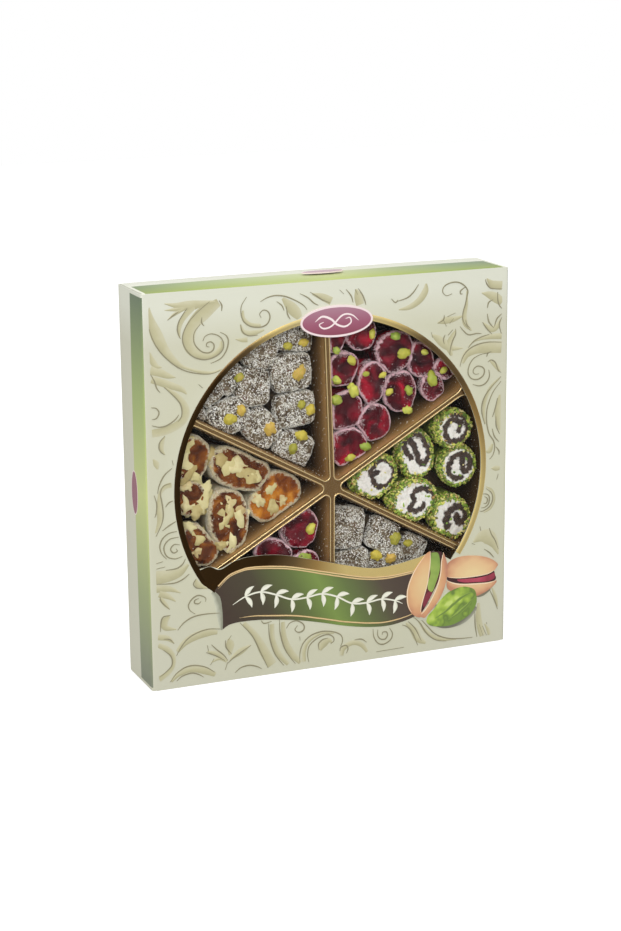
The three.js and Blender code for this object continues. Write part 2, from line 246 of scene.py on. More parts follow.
def sleeve_shell():
    """The sleeve without its front: an outer and an inner wall, joined along all their edges."""
    outer, inner = sleeve_outline(0), sleeve_outline(BOARD)
    count = len(outer)
    vertices, faces = [], []
    for level in range(HEIGHT_STEPS + 1):
        share = level / HEIGHT_STEPS
        for outline in (outer, inner):
            for x, y in outline:
                on_back = (y > HALF_DEPTH - BOARD - CORNER_SLACK
                           and abs(x) < HALF_WIDTH - FOLD_RADIUS + CORNER_SLACK)
                drop = HINGE_DROP if on_back else SIDE_RIM_DROP
                z = drop + (HEIGHT - 2 * drop) * share
                across = max(0.0, 1 - (y / HALF_DEPTH) ** 2) if abs(x) > HALF_WIDTH - FOLD_RADIUS else 0.0
                bow = SIDE_BOW * math.sin(math.pi * share) * across
                vertices.append((x + math.copysign(bow, x), y, z))
    row = 2 * count
    for level in range(HEIGHT_STEPS):
        for wall in (0, count):
            for i in range(count - 1):
                a = level * row + wall + i
                faces.append((a, a + 1, a + 1 + row, a + row))
        for i in (0, count - 1):
            a = level * row + i
            faces.append((a, a + count, a + count + row, a + row))
    for level in (0, HEIGHT_STEPS):
        for i in range(count - 1):
            a = level * row + i
            faces.append((a, a + 1, a + 1 + count, a + count))
    return vertices, faces


def window_outline():
    """The window's edge: the circle, cut into by the label, the banner and the pictured nuts."""
    cx, cz = WINDOW_CENTRE
    arch, wave = spline(BANNER_ARCH), spline(BANNER_WAVE)
    barriers = [arch + wave[1:]]
    for outline in [ellipse(LABEL_CENTRE, LABEL_SIZE)] + [ellipse(*nut) for nut in NUT_PRINTS]:
        barriers.append(outline + outline[:1])
    edge = []
    for i in range(WINDOW_STEPS):
        angle = 2 * math.pi * i / WINDOW_STEPS
        aim = Vector((math.cos(angle), math.sin(angle)))
        far = Vector((cx, cz)) + aim * WINDOW_RADIUS
        reach = WINDOW_RADIUS
        for barrier in barriers:
            for a, b in zip(barrier, barrier[1:]):
                hit = intersect_line_line_2d(Vector((cx, cz)), far, Vector(a), Vector(b))
                if hit is not None:
                    reach = min(reach, (hit - Vector((cx, cz))).length)
        edge.append((cx + reach * aim.x, cz + reach * aim.y))
    return edge


def end_panel(at_top):
    """A top or bottom panel: hinged at the back, flat, then folded down behind the front panel."""
    path = [(HALF_DEPTH, -HINGE_DROP)]
    for step in range(FOLD_STEPS + 1):
        angle = math.radians(90 * step / FOLD_STEPS)
        path.append((HALF_DEPTH - HINGE_RADIUS * (1 - math.cos(angle)),
                     -HINGE_RADIUS * (1 - math.sin(angle))))
    front = FRONT + BOARD + TUCK_GAP
    for step in range(FOLD_STEPS + 1):
        angle = math.radians(90 + 90 * step / FOLD_STEPS)
        path.append((front + TUCK_RADIUS * (1 + math.cos(angle)), -TUCK_RADIUS * (1 - math.sin(angle))))
    path.append((front, -TUCK_DEPTH))
    inner = []
    for i, (y, z) in enumerate(path):
        before, after = Vector(path[max(i - 1, 0)]), Vector(path[min(i + 1, len(path) - 1)])
        along = (after - before).normalized()
        inner.append((y - along.y * BOARD, z + along.x * BOARD))
    ring = path + inner[::-1]
    half = HALF_WIDTH - BOARD - END_PANEL_GAP
    base, turn, bow = (HEIGHT - END_SINK, 1, TOP_BOW) if at_top else (END_SINK, -1, 0.0)
    count = len(ring)
    vertices, faces = [], []
    for i in range(HEIGHT_STEPS + 1):
        share = i / HEIGHT_STEPS
        for y, z in ring:
            across = max(0.0, 1 - (y / HALF_DEPTH) ** TOP_BOW_ACROSS)
            rise = bow * math.sin(math.pi * share) ** TOP_BOW_ALONG * across
            vertices.append(((2 * share - 1) * half, y, base + turn * z + rise))
        if i:
            faces += [((i - 1) * count + j, (i - 1) * count + (j + 1) % count, i * count + (j + 1) % count,
                       i * count + j) for j in range(count)]
    for side in (0, HEIGHT_STEPS * count):
        for i in range(len(path) - 1):
            faces.append(tuple(side + j for j in (i, i + 1, count - 2 - i, count - 1 - i)))
    return vertices, faces


def coated_board():
    """Cream coated folding board, offset printed: satin, with a faint fibre. The front is a little deeper in
    tone away from its middle and is painted paler near the top, a painted highlight; the narrow faces have
    green bands that fade along their length."""
    material, tree, shader, place = new_material("cream_coated_board", 0.42)
    axes = add_node(tree, "ShaderNodeSeparateXYZ", {0: place})
    side = add_node(tree, "ShaderNodeMath", {0: axes.outputs["X"]}, operation="ABSOLUTE")
    on_side = add_node(tree, "ShaderNodeMath", {0: side, 1: (HALF_WIDTH - FOLD_RADIUS) * MM},
                       operation="GREATER_THAN")
    middle = add_node(tree, "ShaderNodeMath", {0: axes.outputs["Z"], 1: HEIGHT / 2 * MM},
                      operation="SUBTRACT")
    rise = add_node(tree, "ShaderNodeMath", {0: middle}, operation="ABSOLUTE")
    on_end = add_node(tree, "ShaderNodeMath", {0: rise, 1: (HEIGHT / 2 - END_FACE_DEPTH) * MM},
                      operation="GREATER_THAN")
    inside_ends = add_node(tree, "ShaderNodeMath", {0: side, 1: (HALF_WIDTH - BAND_END - 1) * MM},
                           operation="LESS_THAN")
    end_band = add_node(tree, "ShaderNodeMath", {0: on_end, 1: inside_ends}, operation="MULTIPLY")
    below_top = add_node(tree, "ShaderNodeMath", {0: rise, 1: (HEIGHT / 2 - BAND_END) * MM},
                         operation="LESS_THAN")
    side_band = add_node(tree, "ShaderNodeMath", {0: on_side, 1: below_top}, operation="MULTIPLY")
    either = add_node(tree, "ShaderNodeMath", {0: end_band, 1: side_band}, operation="MAXIMUM")
    end_edge, side_edge = ((FRONT + share * 2 * HALF_DEPTH) * MM
                           for share in (END_BAND_SHARE, SIDE_BAND_SHARE))
    band_edge = add_node(tree, "ShaderNodeMapRange", {0: on_side, 3: end_edge, 4: side_edge})
    in_front = add_node(tree, "ShaderNodeMath", {0: axes.outputs["Y"], 1: band_edge}, operation="LESS_THAN")
    behind_face = add_node(tree, "ShaderNodeMath", {0: axes.outputs["Y"], 1: (FRONT + FRONT_FACE_DEPTH) * MM},
                           operation="GREATER_THAN")
    depth = add_node(tree, "ShaderNodeMath", {0: in_front, 1: behind_face}, operation="MULTIPLY")
    band = add_node(tree, "ShaderNodeMath", {0: either, 1: depth}, operation="MULTIPLY")
    along_side = add_node(tree, "ShaderNodeMapRange", {0: axes.outputs["Z"], 1: 0.0, 2: HEIGHT * MM})
    along_end = add_node(tree, "ShaderNodeMapRange", {0: axes.outputs["X"], 1: -HALF_WIDTH * MM,
                                                      2: HALF_WIDTH * MM})
    side_green = add_node(tree, "ShaderNodeValToRGB", {0: along_side}, stops=[
        (0.0, "#7a7f6e"), (0.25, "#98a272"), (0.5, "#bcc482"), (0.75, "#98a86a"), (1.0, "#62715a")])
    end_green = add_node(tree, "ShaderNodeValToRGB", {0: along_end}, stops=[
        (0.0, "#647852"), (0.16, "#93a270"), (0.33, "#abb788"), (0.52, "#bcc290"), (0.71, "#98a476"),
        (0.87, "#788c68"), (1.0, "#68795a")])
    near_front = add_node(tree, "ShaderNodeMapRange", {
        0: axes.outputs["Y"], 1: FRONT * MM, 2: end_edge, 3: EDGE_GREEN_SHARE, 4: 0.0})
    end_mix = add_node(tree, "ShaderNodeMix", {0: near_front, 6: end_green, 7: linear("#95a240")},
                       data_type="RGBA")
    green = add_node(tree, "ShaderNodeMix", {0: on_side, 6: end_mix.outputs[2],
                                             7: side_green}, data_type="RGBA")
    fibre = add_node(tree, "ShaderNodeTexNoise", {"Vector": place, "Scale": 1 / (1.5 * MM), "Detail": 4.0})
    from_middle = add_node(tree, "ShaderNodeVectorMath", {0: place, 1: (0, 0, HEIGHT / 2 * MM)},
                           operation="DISTANCE")
    spread = add_node(tree, "ShaderNodeMapRange", {0: from_middle.outputs["Value"], 1: CREAM_SPREAD[0] * MM,
                                                      2: CREAM_SPREAD[1] * MM})
    front_spread = add_node(tree, "ShaderNodeMath", {0: spread, 1: behind_face}, operation="MAXIMUM")
    cream = add_node(tree, "ShaderNodeValToRGB", {0: front_spread}, stops=[
        (0.0, "#cdcdb9"), (0.4, "#c5c4ac"), (1.0, "#c5c4b0")])
    # Painted highlight: the board is painted paler towards the top.
    painted_top_highlight_mask = add_node(tree, "ShaderNodeMapRange", {
        0: axes.outputs["Z"], 1: PAINTED_TOP_HIGHLIGHT[0] * MM, 2: PAINTED_TOP_HIGHLIGHT[1] * MM, 3: 0.0, 4: TOP_LIGHT_SHARE})
    cream_with_painted_highlight = add_node(tree, "ShaderNodeMix", {0: painted_top_highlight_mask, 6: cream, 7: linear("#d9dbcd")},
                          data_type="RGBA")
    printed = add_node(tree, "ShaderNodeMix", {0: band, 6: cream_with_painted_highlight.outputs[2], 7: green.outputs[2]},
                       data_type="RGBA")
    bump = add_node(tree, "ShaderNodeBump", {"Height": fibre, "Strength": 0.06, "Distance": 0.05 * MM})
    feed(tree, shader, {"Base Color": printed.outputs[2], "Normal": bump, "Specular IOR Level": 0.35})
    return material


board = coated_board()
flat_half = HALF_WIDTH - FOLD_RADIUS - FRONT_FOLD_FLAT
window_edge = window_outline()
front_outline = [(-flat_half, 0), (flat_half, 0), (flat_half, HEIGHT), (-flat_half, HEIGHT)]
make_piece("carton_board", [
    sleeve_shell(),
    plate([front_outline, window_edge], FRONT, FRONT + BOARD),
    end_panel(True),
    end_panel(False),
], board, replaces=("carton",))

# Scroll print: acanthus scrolls in two tan inks on the cream front. Broad leaves are flat tints, darker
# along one edge, and thin grey-brown lines draw their veins. The print stops at a frame line 4 mm inside
# the edges, and its lines stand a hair above the board, as blind-embossed print does.
TINT_LEVEL = FRONT - 0.02
LINE_LEVEL = FRONT - 0.22
LINE_WIDTH = 0.7
PEN_LIFTED = 0.45
PEN_PRESSED = 0.75
LEAF_SPREAD = 1.2
LEAF_CROWN = 0.15
LEAF_STEP = 0.0006
INK_MOTTLE = 0.8
PRINT_LIMITS = ((-113.7, 3.8), (113.7, 234.2))

# Broad leaves: points of (across, up, width).
LEAVES = [
    [(-113.2, 232, 0.3), (-112.4, 225, 3.4), (-109.4, 216, 6), (-105, 207, 5), (-99, 200, 3),
     (-92, 195, 1.4), (-78, 190.9, 1.6), (-70, 192.4, 0.6)],
    [(-71, 232, 4), (-80, 226.5, 7), (-87, 220, 6), (-90, 212, 6.4), (-88, 205.3, 5.4), (-82, 201.4, 3.4),
     (-75, 201.4, 2.6), (-70.5, 205, 2.2), (-70, 209, 1)],
    [(-86, 230.5, 2.5), (-93, 224, 2.6), (-95.4, 218, 1.8), (-95, 213, 0.4)],
    [(-104, 233.6, 0.3), (-97, 232, 2.6), (-89, 231.3, 5), (-81, 232, 3), (-73, 232.6, 1)],
    [(-104, 229.7, 0.3), (-97, 229.8, 2), (-89, 231, 3)],
    [(-102.3, 224, 0.4), (-98, 227, 1.6), (-92, 230, 2)],
    [(-57.6, 217.5, 0.8), (-55.5, 213.3, 2.2), (-50, 212.2, 2.6), (-43, 213.6, 1)],
    [(-61, 209.5, 0.3), (-57, 208.6, 2), (-53.5, 208.6, 2.6)],
    [(-56, 226, 1), (-55.6, 221, 2), (-51.5, 217.3, 2.2), (-45, 216.4, 1.6)],
    [(-31, 231.4, 1.5), (-26, 226, 5.4), (-22.5, 222, 5.4), (-20.5, 219, 3)],
    [(-12, 232.6, 1), (-6, 230.5, 3.4), (0, 227.5, 4)],
    [(16, 233.4, 1), (17.3, 229, 4.2), (18.6, 224, 4.4)],
    [(44, 219, 0.6), (51, 220, 2.6), (57.5, 223.6, 3.4), (61.5, 229, 3.4), (62, 233.6, 1)],
    [(89.6, 227, 0.8), (89.4, 219, 1.6), (88, 212, 2.6), (89, 206.6, 2.8), (93, 202.6, 0.8)],
    [(69.8, 208.9, 0.6), (75, 210, 3.6), (81.5, 210.6, 2.6), (87, 212, 0.6)],
    [(66, 202, 0.6), (70, 199.3, 3.6), (75, 195.2, 4.6), (80, 192.6, 3), (87, 192, 0.4)],
    [(82.2, 203.6, 0.6), (79.6, 199, 3), (77.6, 194, 3.8), (79.6, 188, 1.6)],
    [(103, 233.8, 0.6), (107, 230, 4), (113.5, 228.8, 4.6)],
    [(99.6, 225.2, 0.4), (105, 223.6, 3.8), (109.5, 221.4, 5), (113.6, 218.5, 4)],
    [(100.8, 206.6, 0.6), (106, 202.5, 3.2), (110, 203.4, 3), (112.6, 208, 0.8)],
    [(87, 182.6, 1.6), (89.6, 188, 4), (96, 190.5, 4.8), (104, 191.1, 6), (113.6, 190.4, 6)],
    [(91.5, 193.6, 0.4), (97, 196.6, 1.6), (105, 197.6, 2.6), (113.6, 197.4, 3.2)],
    [(105.6, 182.6, 0.6), (109.4, 179.6, 2.4), (112.6, 175.6, 1.6)],
    [(113, 160.5, 1), (112, 155, 3), (111.6, 147, 3.4), (113, 138, 1)],
    [(112.5, 171, 1), (106, 165, 1.8), (102.6, 157, 1.8), (102, 149, 1.4), (103, 143, 0.5)],
    [(103.4, 125.4, 0.6), (106, 125.6, 3), (108.2, 129.6, 1.2)],
    [(107.6, 114, 0.4), (110.4, 113.8, 2.8), (113.4, 113.6, 2)],
    [(102.6, 86, 0.6), (107, 88.6, 1.8), (109.4, 94, 2), (108, 99.6, 1.6), (104, 102.6, 0.5)],
    [(95.5, 67.6, 1), (101, 70.4, 6), (106, 69.6, 8), (110.4, 64.6, 5), (113.2, 57.6, 1)],
    [(-113.6, 206, 0.4), (-112, 200.5, 3), (-109.6, 197.4, 2.4), (-106.6, 196.7, 0.4)],
    [(-113.6, 195.6, 4.6), (-108, 193.6, 4), (-103, 191.3, 2.8), (-98.4, 190, 0.4)],
    [(-113, 190, 3.6), (-106, 187.3, 3.8), (-99.5, 184.6, 3.4), (-94.6, 182.4, 2.6), (-91.8, 179.6, 0.8)],
    [(-104.6, 184.6, 0.6), (-98, 179, 2.6), (-93.8, 173.6, 3.4), (-92.6, 168.6, 4), (-94.6, 164, 4),
     (-100, 160.6, 4), (-107, 158.6, 4), (-113.6, 158, 4)],
    [(-106, 155.3, 0.6), (-108, 151, 2.6), (-107.6, 147.4, 1.6), (-106, 144.6, 0.4)],
    [(-113.4, 142.6, 0.6), (-111.6, 139.6, 3), (-110.8, 136.4, 0.8)],
    [(-102.6, 126, 2.6), (-107, 125, 2.4), (-110, 120.6, 1.8), (-110.4, 112, 2.8), (-110.4, 104.6, 2.8),
     (-113.2, 98, 0.8)],
    [(-113.6, 70.6, 7), (-106, 70.7, 6), (-99, 72.3, 4.6), (-93.6, 76.4, 1.6)],
    [(-113.6, 63.6, 4), (-106, 62.8, 3), (-98.6, 59.4, 0.5)],
    [(-112, 60.6, 4), (-106.4, 58, 2.8), (-101.8, 54.4, 0.5)],
    [(-111.4, 57.6, 2), (-108.4, 53.4, 2.2), (-105.8, 50, 0.5)],
    [(-88.6, 66.6, 0.5), (-88, 63.6, 3), (-85, 61.6, 2.6), (-82, 60.2, 1)],
    [(-106, 45.6, 1), (-109.4, 42.4, 4), (-108.4, 38.8, 3), (-102, 37, 0.6)],
    [(-101.6, 23, 2), (-97, 27.8, 3.4), (-90, 31, 4.2), (-82, 32.3, 4), (-76, 31.6, 2)],
    [(-113.6, 33.6, 3), (-107.4, 32, 2.6), (-103.6, 28.4, 0.6)],
    [(-113.6, 28.6, 2.4), (-108, 25.2, 3), (-104.6, 20.6, 2.6), (-104.2, 15.6, 2), (-107, 11, 2.4),
     (-113.6, 7, 3)],
    [(-106, 4.6, 1.4), (-101, 8.8, 2.8), (-93, 10.7, 3.2), (-85, 8.6, 3.8), (-78, 5, 2.4)],
    [(-82.6, 20.4, 0.5), (-76, 17.6, 2.8), (-70, 12.8, 1)],
    [(-69, 26.6, 1), (-68, 22.6, 4.4), (-68.4, 16, 1)],
    [(-68, 13.4, 1), (-61.5, 17.4, 3.4), (-54.8, 20.6, 0.6)],
    [(-80.4, 13, 0.5), (-75, 15, 2), (-70.6, 12, 0.8)],
    [(-59, 35, 2.4), (-51.6, 26, 3.4), (-46, 15, 5), (-41, 6, 5)],
    [(-40.8, 32, 2.6), (-40.2, 22, 2.4), (-36.4, 12, 2.8), (-30.6, 4.8, 2)],
    [(-33.6, 32.4, 2.2), (-32.8, 22, 2.8), (-28.6, 12, 3.6), (-22.4, 4.8, 2.4)],
    [(-20, 5, 2), (-20, 12, 2.2), (-16.6, 18, 1.8), (-8, 21.8, 1.4), (0, 20.6, 1)],
    [(-9.6, 11, 2), (-7.4, 14.6, 4.6), (-3.6, 16.4, 3), (-1.4, 15, 1)],
    [(5, 5.4, 2), (6.6, 10, 2.6), (12.6, 12.6, 2.6), (18.4, 10.6, 2.6), (22.4, 5.4, 1.6)],
    [(49, 20.6, 1), (54.4, 15, 4), (57.6, 9, 4), (62.6, 5.6, 1.4)],
    [(57.6, 20.6, 0.8), (63.4, 12.6, 2), (71.6, 7, 2.2), (84, 5.2, 0.8)],
    [(99.6, 27, 1.6), (99.6, 18, 3.2), (101, 10, 3.6), (102.4, 4.8, 3)],
    [(104, 12.6, 0.5), (106.4, 8.4, 2), (107.4, 4.8, 1.6)],
    [(109, 36, 0.8), (111.4, 30, 2), (113.2, 23, 0.6)],
]
# Thin lines: points of (across, up).
VEINS = [
    [(-113.6, 219.6), (-111.5, 213), (-107.5, 206), (-102, 200), (-95.5, 195), (-88, 191.9), (-78, 190.2),
     (-71, 191.6)],
    [(-76.6, 232.8), (-85.5, 226), (-91.4, 219), (-93.6, 212), (-91.4, 205.6), (-86.4, 200.8), (-80, 199),
     (-73.6, 200.3), (-69.3, 203.6), (-68.5, 207.8), (-70.7, 211.8), (-75.6, 213.8), (-79.6, 212.7),
     (-81.1, 210)],
    [(-70.4, 214.4), (-66.6, 212), (-65.4, 208.2), (-67, 202.8), (-70.7, 198.6), (-76.6, 196.4)],
    [(-82.6, 219.9), (-86, 215.8), (-86.8, 211.6), (-85.6, 207.6), (-82, 203.9), (-78, 202.8), (-75, 204.2),
     (-74.4, 207.2), (-76.2, 209.1), (-78.6, 208.6), (-78.9, 206.8), (-77.2, 206.2)],
    [(-81.4, 224), (-81.7, 221), (-80.2, 218.8)],
    [(-90.3, 230), (-95, 223.4), (-96.5, 218.6), (-96, 215), (-94.8, 212.4)],
    [(-102.4, 223.9), (-98.6, 226.6), (-95.6, 228.4)],
    [(-70.6, 233), (-69, 230), (-69.3, 226.8)],
    [(-53.6, 233.8), (-56.8, 229), (-57.2, 224), (-55.4, 219.4), (-51, 216.2), (-45, 215.4), (-41, 217),
     (-39.2, 220.6), (-40.2, 224), (-43.2, 225.3), (-45.6, 223.2), (-44.6, 220.8)],
    [(-57.6, 217.9), (-56.6, 213.8), (-53, 211), (-47, 210.8)],
    [(-45, 230.4), (-41, 232.4), (-36, 233.4), (-30, 232.6), (-23.8, 230), (-18, 226.4), (-15.6, 223.3)],
    [(-20, 233.4), (-15, 230.6), (-11.3, 227.2), (-8.4, 225.6)],
    [(-13.6, 233.8), (-9.4, 231.2), (-6, 228.8), (-1, 226.6)],
    [(-34.8, 229.8), (-31.6, 227.2), (-30.2, 224)],
    [(-28.8, 226.6), (-28, 221.6), (-26.3, 218.6)],
    [(5.4, 233.8), (8, 231.2)],
    [(9.6, 233.8), (12.8, 229.6), (14, 225.6)],
    [(15.4, 233.4), (17, 230.2)],
    [(17.4, 233.8), (20, 230), (21.6, 226.2), (22.3, 223.6)],
    [(57, 233.4), (53.5, 228.8), (49.4, 225.8), (43, 224.2)],
    [(39, 226), (41.6, 223.6), (43.4, 225)],
    [(79.4, 226.2), (75.8, 225.2), (73.2, 227.6), (74, 230.8), (78, 232.8), (83, 233), (87.2, 231),
     (90, 227.4), (89.5, 223.6), (88.5, 219), (87, 214), (86.8, 210), (88.7, 206.3), (92, 202.6)],
    [(88.6, 229.6), (86.6, 228.6), (85.1, 227.2), (85.2, 225.7), (86.6, 225.6)],
    [(70, 208.8), (73.7, 210.6), (74.3, 213.4)],
    [(73.7, 210.4), (75.8, 206.4)],
    [(76.5, 212.3), (81.8, 214.2)],
    [(80.6, 211), (78, 208)],
    [(65.6, 203.4), (66.6, 200.2)],
    [(75, 201.3), (73.8, 198.4), (74.4, 195.6)],
    [(80.2, 204), (77, 200.8)],
    [(81.9, 204.4), (82, 201), (80, 197), (78.5, 192), (78.2, 188.4)],
    [(85, 205.6), (87.9, 202.2), (91, 200), (96.4, 200.4), (99.6, 200)],
    [(88.8, 209.6), (89.6, 206.4), (92, 203.8)],
    [(100.4, 207), (103, 203.2), (106.8, 199.2)],
    [(103.6, 212), (104.7, 207), (108.2, 202.8)],
    [(113.5, 211.3), (110.2, 208.4), (108.5, 203.6)],
    [(113.5, 209), (111.8, 204.9), (113.4, 199)],
    [(102, 233.4), (103, 230.6), (106, 227.6), (113.5, 226.8)],
    [(110.5, 225), (110.6, 220.4), (111.6, 217), (113.5, 214.6)],
    [(103.6, 215.6), (104.4, 219), (107.4, 220.6)],
    [(85.2, 180.6), (86.8, 186), (90.4, 190.4), (96.4, 193.3), (104.3, 194.4), (113.5, 193.6)],
    [(90.7, 192), (94.3, 195.6), (99, 197.8), (105, 199.2)],
    [(104.3, 187.5), (99.3, 187), (94.3, 184.8), (91.4, 180.6), (90.8, 176), (93, 172.6), (97, 171.6),
     (100.7, 173.3), (102, 176.3), (100.7, 178.9), (97.2, 179.9), (94.7, 178.4), (94.3, 176.2), (96, 174.9),
     (98.2, 175.2)],
    [(103.4, 185.2), (104.2, 187.4), (106.6, 188.4)],
    [(105, 177), (105.4, 172.7), (103, 168.8), (98.6, 167.4), (94, 168.8)],
    [(104.3, 182), (106.6, 183), (109.4, 181.2), (111.4, 176.5), (113.5, 174.5)],
    [(113.5, 172), (107.9, 167), (103, 161.3), (100.7, 156), (100.4, 151), (101.4, 146.6), (102.6, 142.8)],
    [(113.5, 169), (108.6, 163.4), (105.6, 157.4), (103.9, 151), (103.9, 143.6), (105.7, 136.4),
     (108.6, 132), (109.7, 127.6), (108.6, 122.9), (106.2, 120)],
    [(111.2, 158.6), (110, 152.9), (107.9, 146.9)],
    [(110.3, 147), (110.6, 140.9), (113, 135.6)],
    [(107.8, 139.4), (109.4, 134.4), (112.6, 130.6)],
    [(110.6, 127.6), (112.7, 124.6), (112.8, 122.4)],
    [(112.4, 110), (111.4, 106.4)],
    [(101.6, 98.2), (104.8, 97.6), (106.4, 95.4), (105.8, 91.4), (103.4, 89.4), (100.6, 89.2)],
    [(103, 96.4), (105, 94.6), (104.4, 92), (102.4, 92)],
    [(104, 101.4), (107.9, 98), (108.6, 93.6), (106.4, 89.3), (102, 87), (99.8, 87.2)],
    [(100, 77.2), (100.6, 74.4)],
    [(106.6, 75.4), (108, 71.4), (110.7, 67), (113, 61)],
    [(94.4, 67), (96.6, 65.8)],
    [(103, 62.2), (106.8, 59.4), (110, 55.8)],
    [(-113.5, 193), (-111.4, 189), (-110, 184.6), (-108, 181.8)],
    [(-113.6, 173.4), (-110.7, 172.7), (-109, 169.9), (-110.7, 166.8), (-113.4, 166.4)],
    [(-105.7, 184.9), (-100.7, 180), (-96.4, 175), (-95, 170.6), (-95.4, 166.3), (-97.6, 163.6)],
    [(-97, 167.7), (-99.3, 164.9), (-104.3, 162), (-109, 161.4), (-113.6, 162.7)],
    [(-84.4, 184.6), (-81.8, 182.2)],
    [(-105.8, 155.8), (-109, 152.4), (-109.6, 149), (-108.4, 146.3), (-106.3, 144.6)],
    [(-102, 136), (-106.7, 132.4), (-110, 126.8), (-111.3, 121.7)],
    [(-101.7, 140.8), (-101.2, 137.8)],
    [(-103.3, 127), (-107.5, 125.8), (-109.6, 121.8), (-109, 117.4), (-108.3, 112.4), (-108.2, 107.6),
     (-109.4, 102.8), (-113, 95.8)],
    [(-113.4, 120.8), (-112, 115.4), (-112.3, 110.6), (-113.4, 107.4)],
    [(-106.7, 113), (-104.6, 115.4), (-102, 116.3)],
    [(-109, 98.8), (-105, 101.4), (-100.4, 103.7)],
    [(-100, 97.5), (-105, 96.8), (-109, 94), (-110.8, 89.6), (-109.8, 85), (-106.8, 81.2)],
    [(-99, 93.8), (-104.2, 93.3), (-107.5, 90.6), (-108.3, 86.8), (-106.3, 82.6), (-101.7, 80.8),
     (-97, 81.8)],
    [(-98.4, 89), (-102, 89.6), (-104.2, 87), (-102.6, 84.6), (-100.2, 85.3), (-100.8, 87)],
    [(-95.2, 80), (-97.2, 76.7), (-101, 74.7), (-107.5, 74.4)],
    [(-113.3, 79.3), (-109.2, 80)],
    [(-113.3, 75.9), (-108, 76.6)],
    [(-113.4, 66.5), (-103.3, 65.9), (-97.5, 67.4), (-93, 70.4)],
    [(-111.7, 58.4), (-110.6, 55), (-105.8, 50)],
    [(-89, 66.6), (-90.5, 63.6), (-88.5, 61.1), (-84.6, 60.3)],
    [(-83.3, 51.8), (-83, 53.8), (-85, 55.5), (-88.3, 56.3), (-92, 54.2), (-94, 50.8), (-93, 47.5),
     (-89.8, 45)],
    [(-87.4, 54.4), (-89.8, 53.6), (-90, 51.8), (-87.6, 51.2), (-86, 52.4)],
    [(-101.2, 36.3), (-97, 40.6), (-90.8, 43.5), (-83, 44.1), (-74.5, 43.6)],
    [(-105.4, 46.2), (-109.8, 45.8), (-111.4, 42.8), (-112, 36.8)],
    [(-102.3, 20.4), (-99.6, 25), (-95.4, 29.8), (-89.2, 33), (-81.5, 34.4), (-74, 33.4)],
    [(-110, 32), (-106.2, 31.2), (-103.6, 28.2)],
    [(-110.4, 25), (-106.4, 21.4), (-105, 17.4), (-106.4, 13.4), (-113, 8.5)],
    [(-106.6, 4.4), (-103, 8.9), (-97, 12.3), (-90.8, 12.7), (-83.8, 10.5), (-78.4, 6.6)],
    [(-102.6, 4.4), (-99.2, 7), (-93, 8.2), (-88.5, 6.6), (-85.4, 4.4)],
    [(-82.7, 24.3), (-82, 20.6)],
    [(-80, 24.3), (-77, 21), (-72.3, 16.6), (-69.8, 12.8)],
    [(-83.5, 19.8), (-77, 16.7), (-71.6, 13)],
    [(-81, 11.6), (-78.6, 15.2)],
    [(-71, 25.8), (-70.6, 21.2), (-67.3, 16.6)],
    [(-69.4, 25.6), (-67.2, 28.4)],
    [(-69.8, 11.2), (-64.6, 15), (-54.7, 20.4)],
    [(-71.6, 7), (-70, 11.6)],
    [(-61.5, 35.6), (-53.8, 26.4), (-48.5, 15), (-43.8, 4.4)],
    [(-43, 32.8), (-42.4, 23.4), (-39.2, 12.8), (-33.4, 4.4)],
    [(-35.9, 34), (-35.4, 25), (-32.3, 14.3), (-25.8, 4.4)],
    [(-47.7, 35.2), (-46, 33.2), (-41, 33.8)],
    [(-31.4, 28), (-29, 31.2), (-24.4, 31.9), (-20.2, 29), (-20, 25.6), (-23.4, 24.3), (-25.8, 26.4),
     (-24, 28.8)],
    [(-22.8, 21.6), (-22.5, 19)],
    [(-23, 5), (-22.6, 11.4), (-20.6, 16.8), (-15.4, 21.2), (-7.7, 22.8), (0, 21.4), (4.6, 18.8), (5.8, 15),
     (4.4, 11.4)],
    [(-17, 4.4), (-17.7, 9.7), (-16.2, 15), (-10.8, 19), (-4.6, 20.4), (-0.8, 18.6), (0, 15.8), (-2.2, 14)],
    [(-10, 11.2), (-10.3, 15), (-7.7, 17.4), (-4, 18)],
    [(-65.2, 4.4), (-61.5, 7), (-56, 7.8), (-50.8, 6.2), (-48, 4.4)],
    [(3.9, 8.4), (4.6, 10.8), (8, 11.6), (9.4, 9.4), (8.4, 6.4)],
    [(13.8, 14.3), (18.5, 14.2), (22, 11.7)],
    [(26.4, 19.6), (27, 14.3), (30, 9.8), (34, 8.9), (38.4, 11.2), (39.6, 15), (37.6, 18.8)],
    [(29.6, 18.8), (29.6, 15), (31.5, 12.5), (34.6, 12.1), (36.2, 14.3), (35.4, 16.6), (33, 16.6),
     (32.6, 15)],
    [(46.4, 19.6), (50, 17.8), (53.8, 12.8), (57, 4.8)],
    [(50.4, 21.4), (55.4, 15.8), (59.5, 7.4)],
    [(54, 23.8), (58.5, 19.4), (63, 12.2), (69.2, 6.8), (77, 4.8)],
    [(57.4, 23.6), (63, 17.3), (69.2, 10.6), (77, 6.8), (86, 5.2), (95.4, 4.8)],
    [(28.6, 4.5), (47.4, 4.8)],
    [(97, 21.2), (97.3, 12.8), (98.6, 4.7)],
    [(100, 12.8), (103, 4.7)],
    [(102.4, 11.4), (105.4, 4.7)],
    [(107.3, 34.6), (110.8, 27.4), (113, 21.2)],
    [(105.2, 13.4), (105.6, 12.2)],
]


